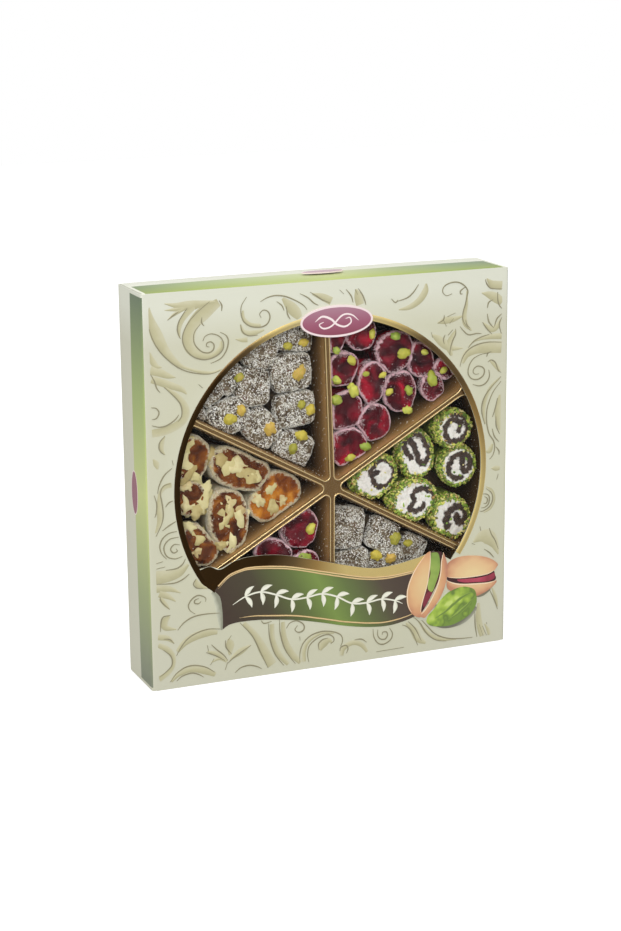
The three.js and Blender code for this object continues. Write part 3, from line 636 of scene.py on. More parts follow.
def ribbon(path, level, back, crown=0.0, steps=6, across=4, limits=None):
    """A closed strip along (across, up, width) points; its middle may be raised. Also gives each vertex's
    share of the way across."""
    samples = spline(path, steps)
    vertices, faces, shares = [], [], []
    for i, (x, z, width) in enumerate(samples):
        before, after = samples[max(i - 1, 0)], samples[min(i + 1, len(samples) - 1)]
        along = Vector((after[0] - before[0], after[1] - before[1])).normalized()
        for j in range(across + 1):
            share = j / across
            offset = (share - 0.5) * max(width, 0.1)
            raised = level - crown * math.sin(math.pi * share)
            vertices.append((x - along.y * offset, raised, z + along.x * offset))
            shares.append(share)
        for share in (0, 1):
            offset = (share - 0.5) * max(width, 0.1)
            vertices.append((x - along.y * offset, back, z + along.x * offset))
            shares.append(float(share))
    if limits:
        (left, low), (right, high) = limits
        vertices = [(min(max(x, left), right), y, min(max(z, low), high)) for x, y, z in vertices]
    row = across + 3
    for i in range(len(samples) - 1):
        a = i * row
        for j in range(across):
            faces.append((a + j, a + j + 1, a + j + 1 + row, a + j + row))
        faces.append((a + across + 1, a + across + 2, a + across + 2 + row, a + across + 1 + row))
        faces.append((a, a + across + 1, a + across + 1 + row, a + row))
        faces.append((a + across, a + across + 2, a + across + 2 + row, a + across + row))
    for a in (0, (len(samples) - 1) * row):
        faces.append((*(a + j for j in range(across + 1)), a + across + 2, a + across + 1))
    return vertices, faces, shares


def printed_strips(name, strips, material, slot, **shape):
    """Joins strips into one printed piece with the share across kept as an attribute."""
    made = [ribbon(path, level, back, **shape) for path, level, back in strips]
    return make_piece(name, [(v, f) for v, f, _ in made], material,
                      values={"across": [share for _, _, shares in made for share in shares]})


def uneven(tree, pattern, strength, value):
    """A value pushed up and down by a noise pattern, by strength times the noise's distance from a half."""
    shift = add_node(tree, "ShaderNodeMath", {0: pattern, 1: 0.5}, operation="SUBTRACT")
    return add_node(tree, "ShaderNodeMath", {0: shift, 1: strength, 2: value}, operation="MULTIPLY_ADD")


def print_ink(name, stops, roughness=0.45):
    """Offset ink under satin varnish, shaded across each stroke."""
    material, tree, shader, place = new_material(name, roughness)
    across = add_node(tree, "ShaderNodeAttribute", attribute_name="across")
    mottle = add_node(tree, "ShaderNodeTexNoise", {"Vector": place, "Scale": 1 / (6 * MM), "Detail": 3.0})
    shade = uneven(tree, mottle, INK_MOTTLE, across.outputs["Fac"])
    ramp = add_node(tree, "ShaderNodeValToRGB", {0: shade}, stops=stops)
    feed(tree, shader, {"Base Color": ramp})
    return material


def vein_path(points):
    """A line drawn with a pen that presses in the middle and lifts at both ends."""
    last = len(points) - 1
    return [(x, z, LINE_WIDTH * (PEN_LIFTED + PEN_PRESSED * math.sin(math.pi * i / last)))
            for i, (x, z) in enumerate(points)]


tan_ink = print_ink("tan_leaf_ink", [(0.0, "#ada885"), (0.5, "#b9b490"), (1.0, "#c2bea0")])
brown_ink = print_ink("grey_brown_line_ink", [(0.0, "#8b866c"), (0.5, "#837d63"), (1.0, "#9c977c")])
spread_leaves = [[(x, z, width * LEAF_SPREAD) for x, z, width in leaf] for leaf in LEAVES]
printed_strips("scroll_leaves",
               [(leaf, TINT_LEVEL - LEAF_STEP * i, FRONT) for i, leaf in enumerate(spread_leaves)],
               tan_ink, "print", crown=LEAF_CROWN, limits=PRINT_LIMITS)
printed_strips("scroll_lines", [(vein_path(vein), LINE_LEVEL, FRONT) for vein in VEINS], brown_ink, "print",
               across=2, limits=PRINT_LIMITS)

# Foil: a hot-stamped gold ring round the window, domed by the embossing die, and a foil field between the
# window's waved edge and the banner. Foil is a mirror film on board; its run from dark bronze to pale gold
# is a painted reflection, set by the angle round the window, and the ring's middle is painted a little darker
# than its edges, painted shade and highlight. It has a faint orange-peel from the stamping.
RING_WIDTH = 3.6
RING_SPAN = (-34, 212)
RING_STEP = 3
FIELD_SPAN = (208, 212)
FIELD_STEP = 2
FIELD_UNDERLAP = 1
FOIL_LEVEL = FRONT - 0.1
FOIL_CROWN = 0.45
RING_FOOT = [(-85.5, 63.7), (-82.9, 60.8), (-80, 59)]
PAINTED_REFLECTION_DARK = "#3e2d18"
PAINTED_REFLECTION_BRONZE = "#776141"
PAINTED_REFLECTION_GOLD = "#b8965a"
PAINTED_REFLECTION_PALE = "#f3d990"
PAINTED_REFLECTION_BRIGHT = "#fbeeb4"
BANNER_TOP = [(-77.4, 57.6), (-75, 60.5), (-68, 66.4), (-60, 69), (-53, 69.6), (-40, 68.6), (-25, 66),
              (0, 59.3), (20, 54.3), (35, 52.7), (50, 53.5), (60, 55)]

foil, foil_tree, foil_shader, foil_place = new_material("hot_stamped_gold_foil", 0.24, 1.0)
foil_axes = add_node(foil_tree, "ShaderNodeSeparateXYZ", {0: foil_place})
foil_across = add_node(foil_tree, "ShaderNodeMath", {0: foil_axes.outputs["X"], 1: WINDOW_CENTRE[0] * MM},
                       operation="SUBTRACT")
foil_up = add_node(foil_tree, "ShaderNodeMath", {0: foil_axes.outputs["Z"], 1: WINDOW_CENTRE[1] * MM},
                   operation="SUBTRACT")
foil_angle = add_node(foil_tree, "ShaderNodeMath", {0: foil_up, 1: foil_across}, operation="ARCTAN2")
foil_turn = add_node(foil_tree, "ShaderNodeMapRange", {0: foil_angle, 1: -math.pi, 2: math.pi})
# Painted reflection: the foil's colour runs from dark bronze to bright pale gold by the angle round the
# window.
foil_painted_reflection = add_node(foil_tree, "ShaderNodeValToRGB", {0: foil_turn}, stops=[
    (0.0, PAINTED_REFLECTION_DARK), (0.13, PAINTED_REFLECTION_DARK), (0.17, PAINTED_REFLECTION_BRONZE), (0.215, PAINTED_REFLECTION_GOLD), (0.27, PAINTED_REFLECTION_PALE),
    (0.48, PAINTED_REFLECTION_PALE), (0.55, PAINTED_REFLECTION_GOLD), (0.59, PAINTED_REFLECTION_BRONZE), (0.65, PAINTED_REFLECTION_BRONZE), (0.69, PAINTED_REFLECTION_PALE),
    (0.75, PAINTED_REFLECTION_BRIGHT), (0.81, PAINTED_REFLECTION_PALE), (0.84, PAINTED_REFLECTION_BRONZE), (0.88, PAINTED_REFLECTION_DARK)])
# Painted highlight and shade: the ring is painted brighter at its edges and darker along its middle.
foil_share = add_node(foil_tree, "ShaderNodeAttribute", attribute_name="across")
foil_off = add_node(foil_tree, "ShaderNodeMath", {0: foil_share.outputs["Fac"], 1: 0.5}, operation="SUBTRACT")
foil_edge = add_node(foil_tree, "ShaderNodeMath", {0: foil_off}, operation="ABSOLUTE")
foil_painted_edge_highlight = add_node(foil_tree, "ShaderNodeMapRange", {0: foil_edge, 1: 0.25, 2: 0.42, 3: 0.85, 4: 1.05})
foil_with_painted_light = add_node(foil_tree, "ShaderNodeHueSaturation", {"Value": foil_painted_edge_highlight, "Color": foil_painted_reflection})
foil_peel = add_node(foil_tree, "ShaderNodeTexNoise", {"Vector": foil_place, "Scale": 1 / (2.5 * MM),
                                                       "Detail": 2.0})
foil_bump = add_node(foil_tree, "ShaderNodeBump", {"Height": foil_peel, "Strength": 0.25,
                                                   "Distance": 0.1 * MM})
feed(foil_tree, foil_shader, {"Base Color": foil_with_painted_light, "Normal": foil_bump})


def round_window(radius, span, step):
    """Points (across, up) on a circle round the window's centre, over a span in whole degrees."""
    turns = [math.radians(a) for a in range(span[0], span[1] + 1, step)]
    return [(WINDOW_CENTRE[0] + radius * math.cos(t), WINDOW_CENTRE[1] + radius * math.sin(t)) for t in turns]


# The ring runs from the pictured nuts over the top to the banner.
ring = [(x, z, RING_WIDTH) for x, z in round_window(WINDOW_RADIUS + RING_WIDTH / 2, RING_SPAN, RING_STEP)]
printed_strips("foil_ring", [(ring, FOIL_LEVEL, FRONT)], foil, "gold_foil", crown=FOIL_CROWN, across=8)
foil_outer = round_window(WINDOW_RADIUS + FIELD_UNDERLAP, FIELD_SPAN, FIELD_STEP)
foil_top = spline(BANNER_ARCH[1:] + BANNER_WAVE[1:])
foil_field = foil_top[::-1] + foil_outer + RING_FOOT + [(x, z - 1) for x, z in spline(BANNER_TOP)]
make_piece("foil_field", [plate([foil_field], FOIL_LEVEL - 0.02, FRONT)], foil)

# Banner: a printed ribbon under the window, brown at its ends and olive green in the middle, with thin pale
# gold lines on and inside its upper edge and inside its lower one. A plain leafy vine in off-white runs along
# it, and a soft printed shadow lies at its left end.
BANNER_BOTTOM = [(-72.6, 33), (-68, 35.4), (-60, 36.2), (-45, 35.4), (-25, 32.4), (-8.3, 28.6), (8.3, 24.2),
                 (25, 21.2), (38, 20.6), (50, 22.6), (60, 26)]
BANNER_LEFT = [(-72.6, 33), (-72.4, 40), (-72.8, 47), (-74, 53.6), (-77.4, 57.6)]
BANNER_SHADOW = [(-73.6, 32.6, 1.5), (-73.9, 40, 4), (-74.5, 47, 5), (-76, 53, 4.4), (-79, 57, 2)]
BANNER_LEVEL = FRONT - 0.16
BANNER_SHADE = (-50, 80)
SHADOW_LEVEL = FRONT - 0.08
LINE_RISE = 0.08
VINE_RISE = 0.06
VINE_LEAF_RISE = 0.07
VINE_LEAF_STEP = 0.002
LINE_TOP = [(-75, 58.8, 0.1), (-68, 65.2, 0.5), (-60, 68, 0.7), (-53, 68.5, 0.8), (-40, 67.3, 0.8),
            (-25, 64.6, 0.8), (0, 57.7, 0.9), (20, 52.9, 0.9), (35, 51.4, 0.9), (50, 52.4, 0.7),
            (58, 53.6, 0.3)]
LINE_EDGE = [(x, z - 0.1, 0.9) for x, z in BANNER_TOP[1:]]
LINE_BOTTOM = [(-62, 38.8, 0.1), (-52, 38.7, 0.6), (-40, 37.3, 0.9), (-25, 35.2, 0.9), (-8.3, 31.2, 0.9),
               (8.3, 26.8, 0.9), (25, 23.8, 0.9), (36, 23.1, 0.8), (48, 24.6, 0.6), (57, 27.2, 0.2)]
VINE = [(-66, 47.5, 0.3), (-58, 51.6, 0.9), (-48, 53.4, 1.1), (-38, 50.4, 1.1), (-28, 46.2, 1.1),
        (-18, 46, 1.1), (-8, 47, 1.1), (2, 44, 1.1), (12, 38.4, 1.1), (22, 37.4, 1.1), (32, 38.4, 1.0),
        (41, 36.4, 0.9), (46.5, 33.6, 0.3)]
VINE_LEAF_LENGTH = 8.5
VINE_LEAF_WIDTH = 3.0
VINE_LEAF_TURN = 52
VINE_LEAF_CURL = 25

banner_print, banner_tree, banner_shader, banner_place = new_material("banner_process_print", 0.45)
banner_axes = add_node(banner_tree, "ShaderNodeSeparateXYZ", {0: banner_place})
banner_slope = add_node(banner_tree, "ShaderNodeMath",
                        {0: banner_axes.outputs["Z"], 1: 0.5, 2: banner_axes.outputs["X"]},
                        operation="MULTIPLY_ADD")
banner_share = add_node(banner_tree, "ShaderNodeMapRange", {0: banner_slope, 1: BANNER_SHADE[0] * MM,
                                                             2: BANNER_SHADE[1] * MM})
banner_tone = add_node(banner_tree, "ShaderNodeValToRGB", {0: banner_share}, stops=[
    (0.0, "#3c2d22"), (0.22, "#443d29"), (0.4, "#5c6a36"), (0.52, "#748b42"), (0.64, "#5f6f3b"),
    (0.82, "#4e4235"), (1.0, "#42322a")])
feed(banner_tree, banner_shader, {"Base Color": banner_tone})

shadow_ink = print_ink("grey_shadow_ink", [(0.35, "#8d8e7c"), (1.0, "#c6c7b2")])
printed_strips("banner_shadow", [(BANNER_SHADOW, SHADOW_LEVEL, FRONT)], shadow_ink, "print")
banner_outline = spline(BANNER_TOP) + spline(BANNER_BOTTOM)[::-1] + spline(BANNER_LEFT)[1:-1]
make_piece("banner", [plate([banner_outline], BANNER_LEVEL, FRONT)], banner_print)
# Painted highlight: the pale gold lines are painted lighter along their middle than at their edges.
painted_highlight_line_ink = print_ink("pale_gold_line_ink", [(0.0, "#b08a5a"), (0.5, "#e6cd98"), (1.0, "#b99561")], 0.3)
printed_strips("banner_lines", [(line, BANNER_LEVEL - LINE_RISE, BANNER_LEVEL) for line in
                                (LINE_TOP, LINE_BOTTOM, LINE_EDGE)], painted_highlight_line_ink, "print", crown=0.1)


def leaf_path(root, degrees, length, width):
    """A leaf of (across, up, width) points, curving a little as it leaves its stem."""
    path = []
    for share, swell in ((0, 0.1), (0.25, 0.75), (0.5, 1.0), (0.75, 0.65), (1, 0.05)):
        turn = math.radians(degrees - VINE_LEAF_CURL * share)
        path.append((root[0] + length * share * math.cos(turn), root[1] + length * share * math.sin(turn),
                     width * swell))
    return path


off_white = print_ink("off_white_ink", [(0.0, "#d9d9c6"), (0.5, "#eceadb"), (1.0, "#d2d3bd")])
vine_strips = [(VINE, BANNER_LEVEL - VINE_RISE, BANNER_LEVEL)]
for i, (x, z, _) in enumerate(VINE[1:-1]):
    for side in (1, -1):
        before, after = VINE[i], VINE[i + 2]
        heading = math.degrees(math.atan2(after[1] - before[1], after[0] - before[0]))
        leaf = leaf_path((x, z), heading + side * VINE_LEAF_TURN, VINE_LEAF_LENGTH, VINE_LEAF_WIDTH)
        vine_strips.append((leaf, BANNER_LEVEL - VINE_LEAF_RISE - VINE_LEAF_STEP * i, BANNER_LEVEL))
printed_strips("banner_vine", vine_strips, off_white, "print")

# Pictured nuts: two opened pistachio shells and one green kernel, printed on the lower right corner. Each
# is a few flat fields of ink, shaded from its middle to its edge, with a soft grey shadow under them.
LEFT_OVAL = ((62, 45), (30, 46), -12)
RIGHT_OVAL = ((95, 47), (38, 28), -6)
KERNEL_OVAL = ((76, 29), (48, 26), 25)
SHADOW_OVAL = ((78, 27), (62, 36), 25)
SHELLS_OVAL = ((86, 46), (76, 46), 0)
SHELL_HEIGHT = 0.36
SHELL_RIM_HEIGHT = 0.39
KERNEL_HEIGHT = 0.4
RIDGE_HEIGHT = 0.42
FIELD_DROP = 0.003
NUT_SHADOWS = [
    [(55, 24), (62, 20.6), (72, 27), (64, 32)],
    [(96, 33), (98.6, 31), (103.6, 31.8), (108, 35.4), (102, 36)],
    [(66, 17), (76, 13.4), (88, 14.6), (95.6, 19.8), (97.6, 25), (84, 24)],
]
NUT_HOLLOWS = [
    [(65.4, 65.2), (69, 64.6), (73.4, 63.4), (73.2, 57), (72.5, 50), (70.6, 44), (67.6, 38.6), (64.4, 33),
     (60.8, 27.4), (58.8, 26), (59.2, 31), (61.2, 37.7), (63.2, 44.6), (64.4, 51.5), (65.2, 58.5)],
    [(77.2, 46.9), (85, 45.6), (95, 45.2), (105, 45.6), (109.8, 47), (110.8, 44.6), (111.4, 41.2),
     (105.8, 39.6), (97.3, 40), (88.1, 40.8), (81.9, 42.4), (77.6, 44.8)],
]
NUT_SKINS = [
    [(65.4, 39.4), (66.8, 37.7), (64.4, 33.4), (61.4, 29.2), (60.6, 33), (62.7, 37.7)],
    [(84.2, 44.5), (91.2, 44.1), (98.8, 43.8), (106.5, 44.6), (110.3, 45.8), (110.6, 42.3), (105.8, 40.7),
     (97.3, 41.2), (89.6, 41.9), (85, 43.3)],
]
OPEN_KERNEL = [[(66.2, 64.2), (70.4, 63.8), (71.9, 60), (72.3, 54.6), (71.5, 50), (69.6, 44.6), (67.3, 39.2),
                (65.4, 39.2), (63.8, 41.5), (64.2, 46.2), (65.6, 50), (65.4, 54.6), (65.8, 60)]]
LEFT_VALVES = [
    [(65.4, 65.2), (62.3, 63.5), (56.5, 56.9), (52.7, 50.8), (50, 43.8), (49.2, 37.7), (50, 31.5),
     (52.3, 26.9), (55.8, 23.8), (59, 23.2), (59.2, 27.7), (59.6, 31.5), (61.5, 37.7), (63.5, 44.6),
     (64.6, 51.5), (65.4, 58.5)],
    [(74.6, 63.5), (76.2, 59.2), (77.3, 54.6), (77.2, 48.5), (75.8, 41.5), (72.7, 34.6), (68.8, 29.2),
     (64.2, 24.6), (61.8, 22.3), (58.8, 23.6), (58.8, 26.2), (61.5, 26.9), (65, 31.5), (68.1, 36.9),
     (70.8, 43), (72.7, 50), (73.3, 57.7)],
]
RIGHT_VALVES = [
    [(77.7, 55.8), (81.2, 58), (87.3, 59.2), (95, 58.8), (102.7, 57.3), (108.8, 54.6), (112.7, 51.2),
     (111.4, 48.5), (109.6, 46.9), (105, 45.4), (95, 45), (85, 45.4), (77.7, 46.9), (76.8, 50.8)],
    [(76.9, 44.6), (81.9, 42.3), (88.1, 40.8), (97.3, 40), (105.8, 39.6), (111.9, 40.4), (110.4, 37.7),
     (106.5, 35), (101.9, 33), (97, 31.8), (90, 33), (84, 36), (79.6, 37.7), (77.3, 40)],
]
GREEN_KERNEL = [[(63.1, 19.2), (63.8, 23), (68.1, 27), (71.9, 31.5), (77.3, 36.2), (83.5, 38.8),
                 (89.6, 39.2), (95, 37.3), (97.3, 34.6), (98, 28.5), (96.2, 23.8), (92.7, 20), (86.5, 16.9),
                 (79.6, 15), (71.9, 15.2), (65.8, 16.6)]]
KERNEL_RIDGES = [
    [(69, 21, 0.4), (76, 24.6, 1.6), (83, 29.6, 2.0), (90, 33.6, 1.4), (95, 34.8, 0.3)],
    [(78, 18.6, 0.3), (85, 22.2, 2.4), (91, 26.4, 2.2), (95.6, 30.6, 0.3)],
]
SHELL_RIMS = [
    [(65.4, 65.2, 0.3), (65.4, 58.5, 0.6), (64.6, 51.5, 0.7), (63.5, 44.6, 0.7), (61.5, 37.7, 0.7),
     (59.6, 31.5, 0.7), (58.9, 26.6, 0.3)],
    [(74.6, 63.5, 0.3), (73.3, 57.7, 0.7), (72.7, 50, 0.8), (70.8, 43, 0.9), (68.1, 36.9, 0.9),
     (65, 31.5, 0.9), (61.5, 26.9, 0.8), (59.2, 25, 0.3)],
    [(77.5, 44.4, 0.3), (81.9, 42.3, 0.8), (88.1, 40.8, 0.9), (97.3, 40, 0.9), (105.8, 39.6, 0.8),
     (111.4, 40.4, 0.3)],
    [(109.8, 47.2, 0.3), (105, 45.6, 0.6), (95, 45.1, 0.7), (85, 45.5, 0.6), (77.7, 46.9, 0.2)],
    [(62, 63.2, 0.2), (56.7, 56.7, 0.6), (53, 50.7, 0.8), (50.3, 43.8, 0.8), (49.6, 37.7, 0.8),
     (50.4, 31.5, 0.6), (52.6, 27.2, 0.2)],
]


def printed_fields(name, outlines, level, colours, oval, grain):
    """Fields of ink on the front, shaded by how far they lie from an oval's middle, with a little grain."""
    material, tree, shader, place = new_material(name + "_ink", 0.45)
    (x, z), (width, height), turn = oval
    within = add_node(tree, "ShaderNodeMapping", {
        0: place, 1: (x * MM, FRONT * MM, z * MM), 2: (0, -math.radians(turn), 0),
        3: (width / 2 * MM, 1, height / 2 * MM)}, vector_type="TEXTURE")
    outward = add_node(tree, "ShaderNodeVectorMath", {0: within}, operation="LENGTH")
    mottle = add_node(tree, "ShaderNodeTexNoise", {"Vector": place, "Scale": 1 / (6 * MM), "Detail": 1.5})
    shade = uneven(tree, mottle, grain, outward.outputs["Value"])
    ramp = add_node(tree, "ShaderNodeValToRGB", {0: shade}, stops=colours)
    feed(tree, shader, {"Base Color": ramp})
    shells = [plate([spline(outline + outline[:1], 5)[:-1]], level - FIELD_DROP * i, FRONT)
              for i, outline in enumerate(outlines)]
    return make_piece(name, shells, material)


# Each field: its name, outlines, height above the board, tones from the oval's middle out, the oval, and
# how strong its grain is.
NUT_FIELDS = [
    ("kernel_shadow", NUT_SHADOWS[2:], 0.24, [(0.76, "#6f6d5e"), (1.0, "#bfc0ac")], SHADOW_OVAL, 0.0),
    ("shell_shadows", NUT_SHADOWS[:2], 0.24, [(0.8, "#77735f"), (1.0, "#bdbda9")], SHELLS_OVAL, 0.0),
    ("nut_hollows", NUT_HOLLOWS, 0.27, [(0.3, "#5a2226"), (0.9, "#3d1a1c")], LEFT_OVAL, 0.3),
    ("nut_skins", NUT_SKINS, 0.3, [(0.2, "#b5485c"), (0.7, "#9a3448"), (1.0, "#7d2c3a")], RIGHT_OVAL, 0.9),
    ("open_kernel", OPEN_KERNEL, 0.33, [(0.2, "#98ad56"), (0.6, "#86a04a"), (1.0, "#6f8a3e")], LEFT_OVAL,
     1.2),
    ("left_shell", LEFT_VALVES, SHELL_HEIGHT, [(0.2, "#dcbd8a"), (0.6, "#d9ae7e"), (0.85, "#cc966e"),
                                       (1.0, "#b67e64")], LEFT_OVAL, 0.3),
    ("right_shell", RIGHT_VALVES, SHELL_HEIGHT, [(0.2, "#e0c592"), (0.6, "#dcb788"), (0.85, "#d0a078"),
                                         (1.0, "#b98062")], RIGHT_OVAL, 0.3),
    ("green_kernel", GREEN_KERNEL, KERNEL_HEIGHT, [(0.1, "#c0d272"), (0.35, "#a4be4a"), (0.6, "#88a43e"),
                                         (0.85, "#647c38"), (1.0, "#738e3c")], KERNEL_OVAL, 1.8),
]
for name, outlines, height, colours, oval, grain in NUT_FIELDS:
    printed_fields(name, outlines, FRONT - height, colours, oval, grain)
ridge_ink = print_ink("kernel_ridge_ink", [(0.0, "#7f9a40"), (0.5, "#62793a"), (1.0, "#93ad4c")])
printed_strips("kernel_ridges", [(ridge, FRONT - RIDGE_HEIGHT,
                                  FRONT - KERNEL_HEIGHT) for ridge in KERNEL_RIDGES], ridge_ink, "print")
shell_rim_ink = print_ink("pale_shell_rim_ink", [(0.0, "#e0bd94"), (0.5, "#efdcc0"), (1.0, "#e0bd94")])
printed_strips("shell_rims", [(rim, FRONT - SHELL_RIM_HEIGHT, FRONT - SHELL_HEIGHT) for rim in SHELL_RIMS],
               shell_rim_ink, "print")

# Labels: plum oval patches with a pale rim, raised by embossing. A large one lies over the window's top edge
# and carries a plain scroll, and small bare ones lie in the middle of the top and of each side.
LABEL_RIM = 1.3
SMALL_LABEL_RIM = 0.55
SMALL_LABEL_DEPTH = 0.6
INK_STEP = 0.04
LABEL_LEVEL = FRONT - 0.75
LABEL_RISE = 0.06
SCROLL_RISE = 0.06
SCROLL_STEP = 0.004
LABEL_SHADE = (207, 224)
TOP_LABEL = ((3.2, -1.0), (27, 9))
SIDE_LABEL = ((-0.5, 118.0), (11.5, 27))
SCROLL_ORNAMENT = [
    [(-14, 0.5, 0.3), (-9.5, 3.4, 1.2), (-4, 1.6, 1.3), (0, -2, 1.2), (5, -3.6, 1.1), (9, -1.4, 0.9),
     (8.4, 1.6, 0.7), (5.6, 1.2, 0.4)],
    [(14, -0.5, 0.3), (9.5, 3.2, 0.9), (3.6, 3.4, 1.0), (-3.4, -2.6, 1.0), (-8.6, -3.8, 1.0),
     (-11.4, -1.4, 0.7), (-8.6, 0, 0.4)],
]

plum, plum_tree, plum_shader, plum_place = new_material("plum_label_print", 0.3)
plum_axes = add_node(plum_tree, "ShaderNodeSeparateXYZ", {0: plum_place})
plum_height = add_node(plum_tree, "ShaderNodeMapRange", {0: plum_axes.outputs["Z"], 1: LABEL_SHADE[0] * MM,
                                                         2: LABEL_SHADE[1] * MM})
plum_tone = add_node(plum_tree, "ShaderNodeValToRGB", {0: plum_height},
                     stops=[(0.0, "#853c50"), (0.4, "#955168"), (1.0, "#a67a8a")])
feed(plum_tree, plum_shader, {"Base Color": plum_tone, "Coat Weight": 0.4, "Coat Roughness": 0.15})
pale_rim = print_ink("pale_pink_rim_ink", [(0.0, "#e9d6d6"), (1.0, "#f0e2e0")], 0.3)

inner_size = [s - 2 * LABEL_RIM for s in LABEL_SIZE]
make_piece("label_rim", [plate([ellipse(LABEL_CENTRE, LABEL_SIZE)], LABEL_LEVEL, FRONT)], pale_rim)
make_piece("label", [plate([ellipse(LABEL_CENTRE, inner_size)], LABEL_LEVEL - LABEL_RISE, LABEL_LEVEL)], plum)
ornament = [([(LABEL_CENTRE[0] + x, LABEL_CENTRE[1] + z, w) for x, z, w in path],
             LABEL_LEVEL - LABEL_RISE - SCROLL_RISE - SCROLL_STEP * i, LABEL_LEVEL - LABEL_RISE)
            for i, path in enumerate(SCROLL_ORNAMENT)]
printed_strips("label_ornament", ornament, pale_rim, "print")


def turned(shell, axis, offset):
    """Turns a plate from the front on to the top or a side, out from the carton's middle."""
    vertices, faces = shell
    if axis == "top":
        return [(x, z, offset - y) for x, y, z in vertices], faces
    side = 1 if axis == "right" else -1
    return [(side * (offset - y), x, z) for x, y, z in vertices], faces


small_rims, small_labels = [], []
for axis, (centre, size), offset in (("top", TOP_LABEL, HEIGHT + TOP_BOW),
                                     ("left", SIDE_LABEL, HALF_WIDTH + SIDE_BOW),
                                     ("right", SIDE_LABEL, HALF_WIDTH + SIDE_BOW)):
    rim = plate([ellipse(centre, size, steps=48)], -INK_STEP, SMALL_LABEL_DEPTH)
    core = plate([ellipse(centre, [s - 2 * SMALL_LABEL_RIM for s in size], steps=48)], -2 * INK_STEP,
                 -INK_STEP)
    small_rims.append(turned(rim, axis, offset))
    small_labels.append(turned(core, axis, offset))
make_piece("small_label_rims", small_rims, pale_rim)
make_piece("small_labels", small_labels, plum)

# Window film: clear polypropylene glued behind the front panel, smooth and nearly invisible, with a faint
# overall sheen and the slightest waviness.
film_material, film_tree, film_shader, film_place = new_material("clear_polypropylene_film", 0.12)
film_wave = add_node(film_tree, "ShaderNodeTexNoise", {"Vector": film_place, "Scale": 1 / (45 * MM),
                                                       "Detail": 1.0})
film_bump = add_node(film_tree, "ShaderNodeBump", {"Height": film_wave, "Strength": 0.3, "Distance": 2 * MM})
feed(film_tree, film_shader, {"Base Color": linear("#6a6c6c"), "Alpha": 0.02, "Normal": film_bump})
film = frame["nodes"]["window_film"]
film.data.materials.clear()
film.data.materials.append(film_material)

# Tray: one sheet of gold-metallised plastic, vacuum formed into six wedge cups about a small hub. A bead runs
# round each cup's edge and the webs between lie a little lower. The bead's top is painted pale gold, a
# painted highlight; the webs are painted darker, and the cups darker brown and less metallic with depth, as
# painted shade.
HUB = (0.8, 112.7)
DIVIDERS = [30.4, 91.6, 151.0, 210.0, 269.4, 330.3]
WEB_WIDTH = 3.4
CUP_REACH = 107.0
CUP_DEPTH = 32.0
CUP_DRAFT = 4.2
FOOT_HEIGHT = 4.0
FOOT_INSET = 2.4
HUB_CORNER_RADIUS = 2.6
OUTER_CORNER_RADIUS = 9.0
SHEET = 0.35
BEAD = 0.45
TRAY_EDGE_RADIUS = 12.0
CRUMB_DEPTH = 18.0
ROUND_STEPS = 6
WALL_STEPS = 5

tray_low, tray_high = (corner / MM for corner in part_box("tray"))
WEB_FRONT = tray_low.y
TRAY_CENTRE = ((tray_low.x + tray_high.x) / 2, (tray_low.z + tray_high.z) / 2)
TRAY_HALF = ((tray_high.x - tray_low.x) / 2, (tray_high.z - tray_low.z) / 2)


def arc(centre, radius, start, sweep, steps):
    """Points along an arc, angles in degrees."""
    points = []
    for i in range(steps + 1):
        angle = math.radians(start + sweep * i / steps)
        points.append((centre[0] + radius * math.cos(angle), centre[1] + radius * math.sin(angle)))
    return points


def along(a, b, share):
    """The point a share of the way from a to b."""
    return tuple(p + (q - p) * share for p, q in zip(a, b))


def cup_outline(middle, half, inset):
    """One cup's outline, a wedge with rounded corners; a positive inset makes it smaller."""
    wall = WEB_WIDTH / 2 + inset
    inner = max(HUB_CORNER_RADIUS - inset, 0.9)
    outer = max(OUTER_CORNER_RADIUS - inset, 0.9)
    reach = CUP_REACH - inset
    swing = math.degrees(math.asin((wall + outer) / (reach - outer)))
    spread = half - swing
    out = (wall + inner) / math.sin(math.radians(half))
    hub_corner = arc(HUB, out, middle, 0, 1)[0]
    right_corner = arc(HUB, reach - outer, middle - spread, 0, 1)[0]
    left_corner = arc(HUB, reach - outer, middle + spread, 0, 1)[0]
    outline = arc(hub_corner, inner, middle + 90 + half, 180 - 2 * half, 10)
    far_corner = arc(right_corner, outer, middle - half - 90, 90 + swing, 8)
    outline += [along(outline[-1], far_corner[0], share / 10) for share in range(1, 10)] + far_corner
    outline += arc(HUB, reach, middle - spread, 2 * spread, 24)[1:-1]
    outline += arc(left_corner, outer, middle + spread, 90 + swing, 8)
    outline += [along(outline[-1], outline[0], share / 10) for share in range(1, 10)]
    return outline


def cup_rings(middle, half, skin):
    """The cup's rings from the bead round its edge down to its floor; skin is 0 in front, 1 at the back."""
    profile = []
    for i in range(ROUND_STEPS + 1):
        angle = math.radians(180 * i / ROUND_STEPS)
        profile.append((-BEAD - BEAD * math.cos(angle), BEAD - BEAD * math.sin(angle)))
    for i in range(1, WALL_STEPS + 1):
        share = i / WALL_STEPS
        profile.append((CUP_DRAFT * share, BEAD + (CUP_DEPTH - FOOT_HEIGHT - BEAD) * share))
    for i in range(1, ROUND_STEPS + 1):
        angle = math.radians(90 * i / ROUND_STEPS)
        profile.append((CUP_DRAFT + FOOT_INSET * (1 - math.cos(angle)),
                        CUP_DEPTH - FOOT_HEIGHT * (1 - math.sin(angle))))
    rings = []
    for inset, drop in profile:
        outline = cup_outline(middle, half, inset - skin * SHEET)
        rings.append([(x, WEB_FRONT + drop + skin * SHEET, z) for x, z in outline])
    return rings


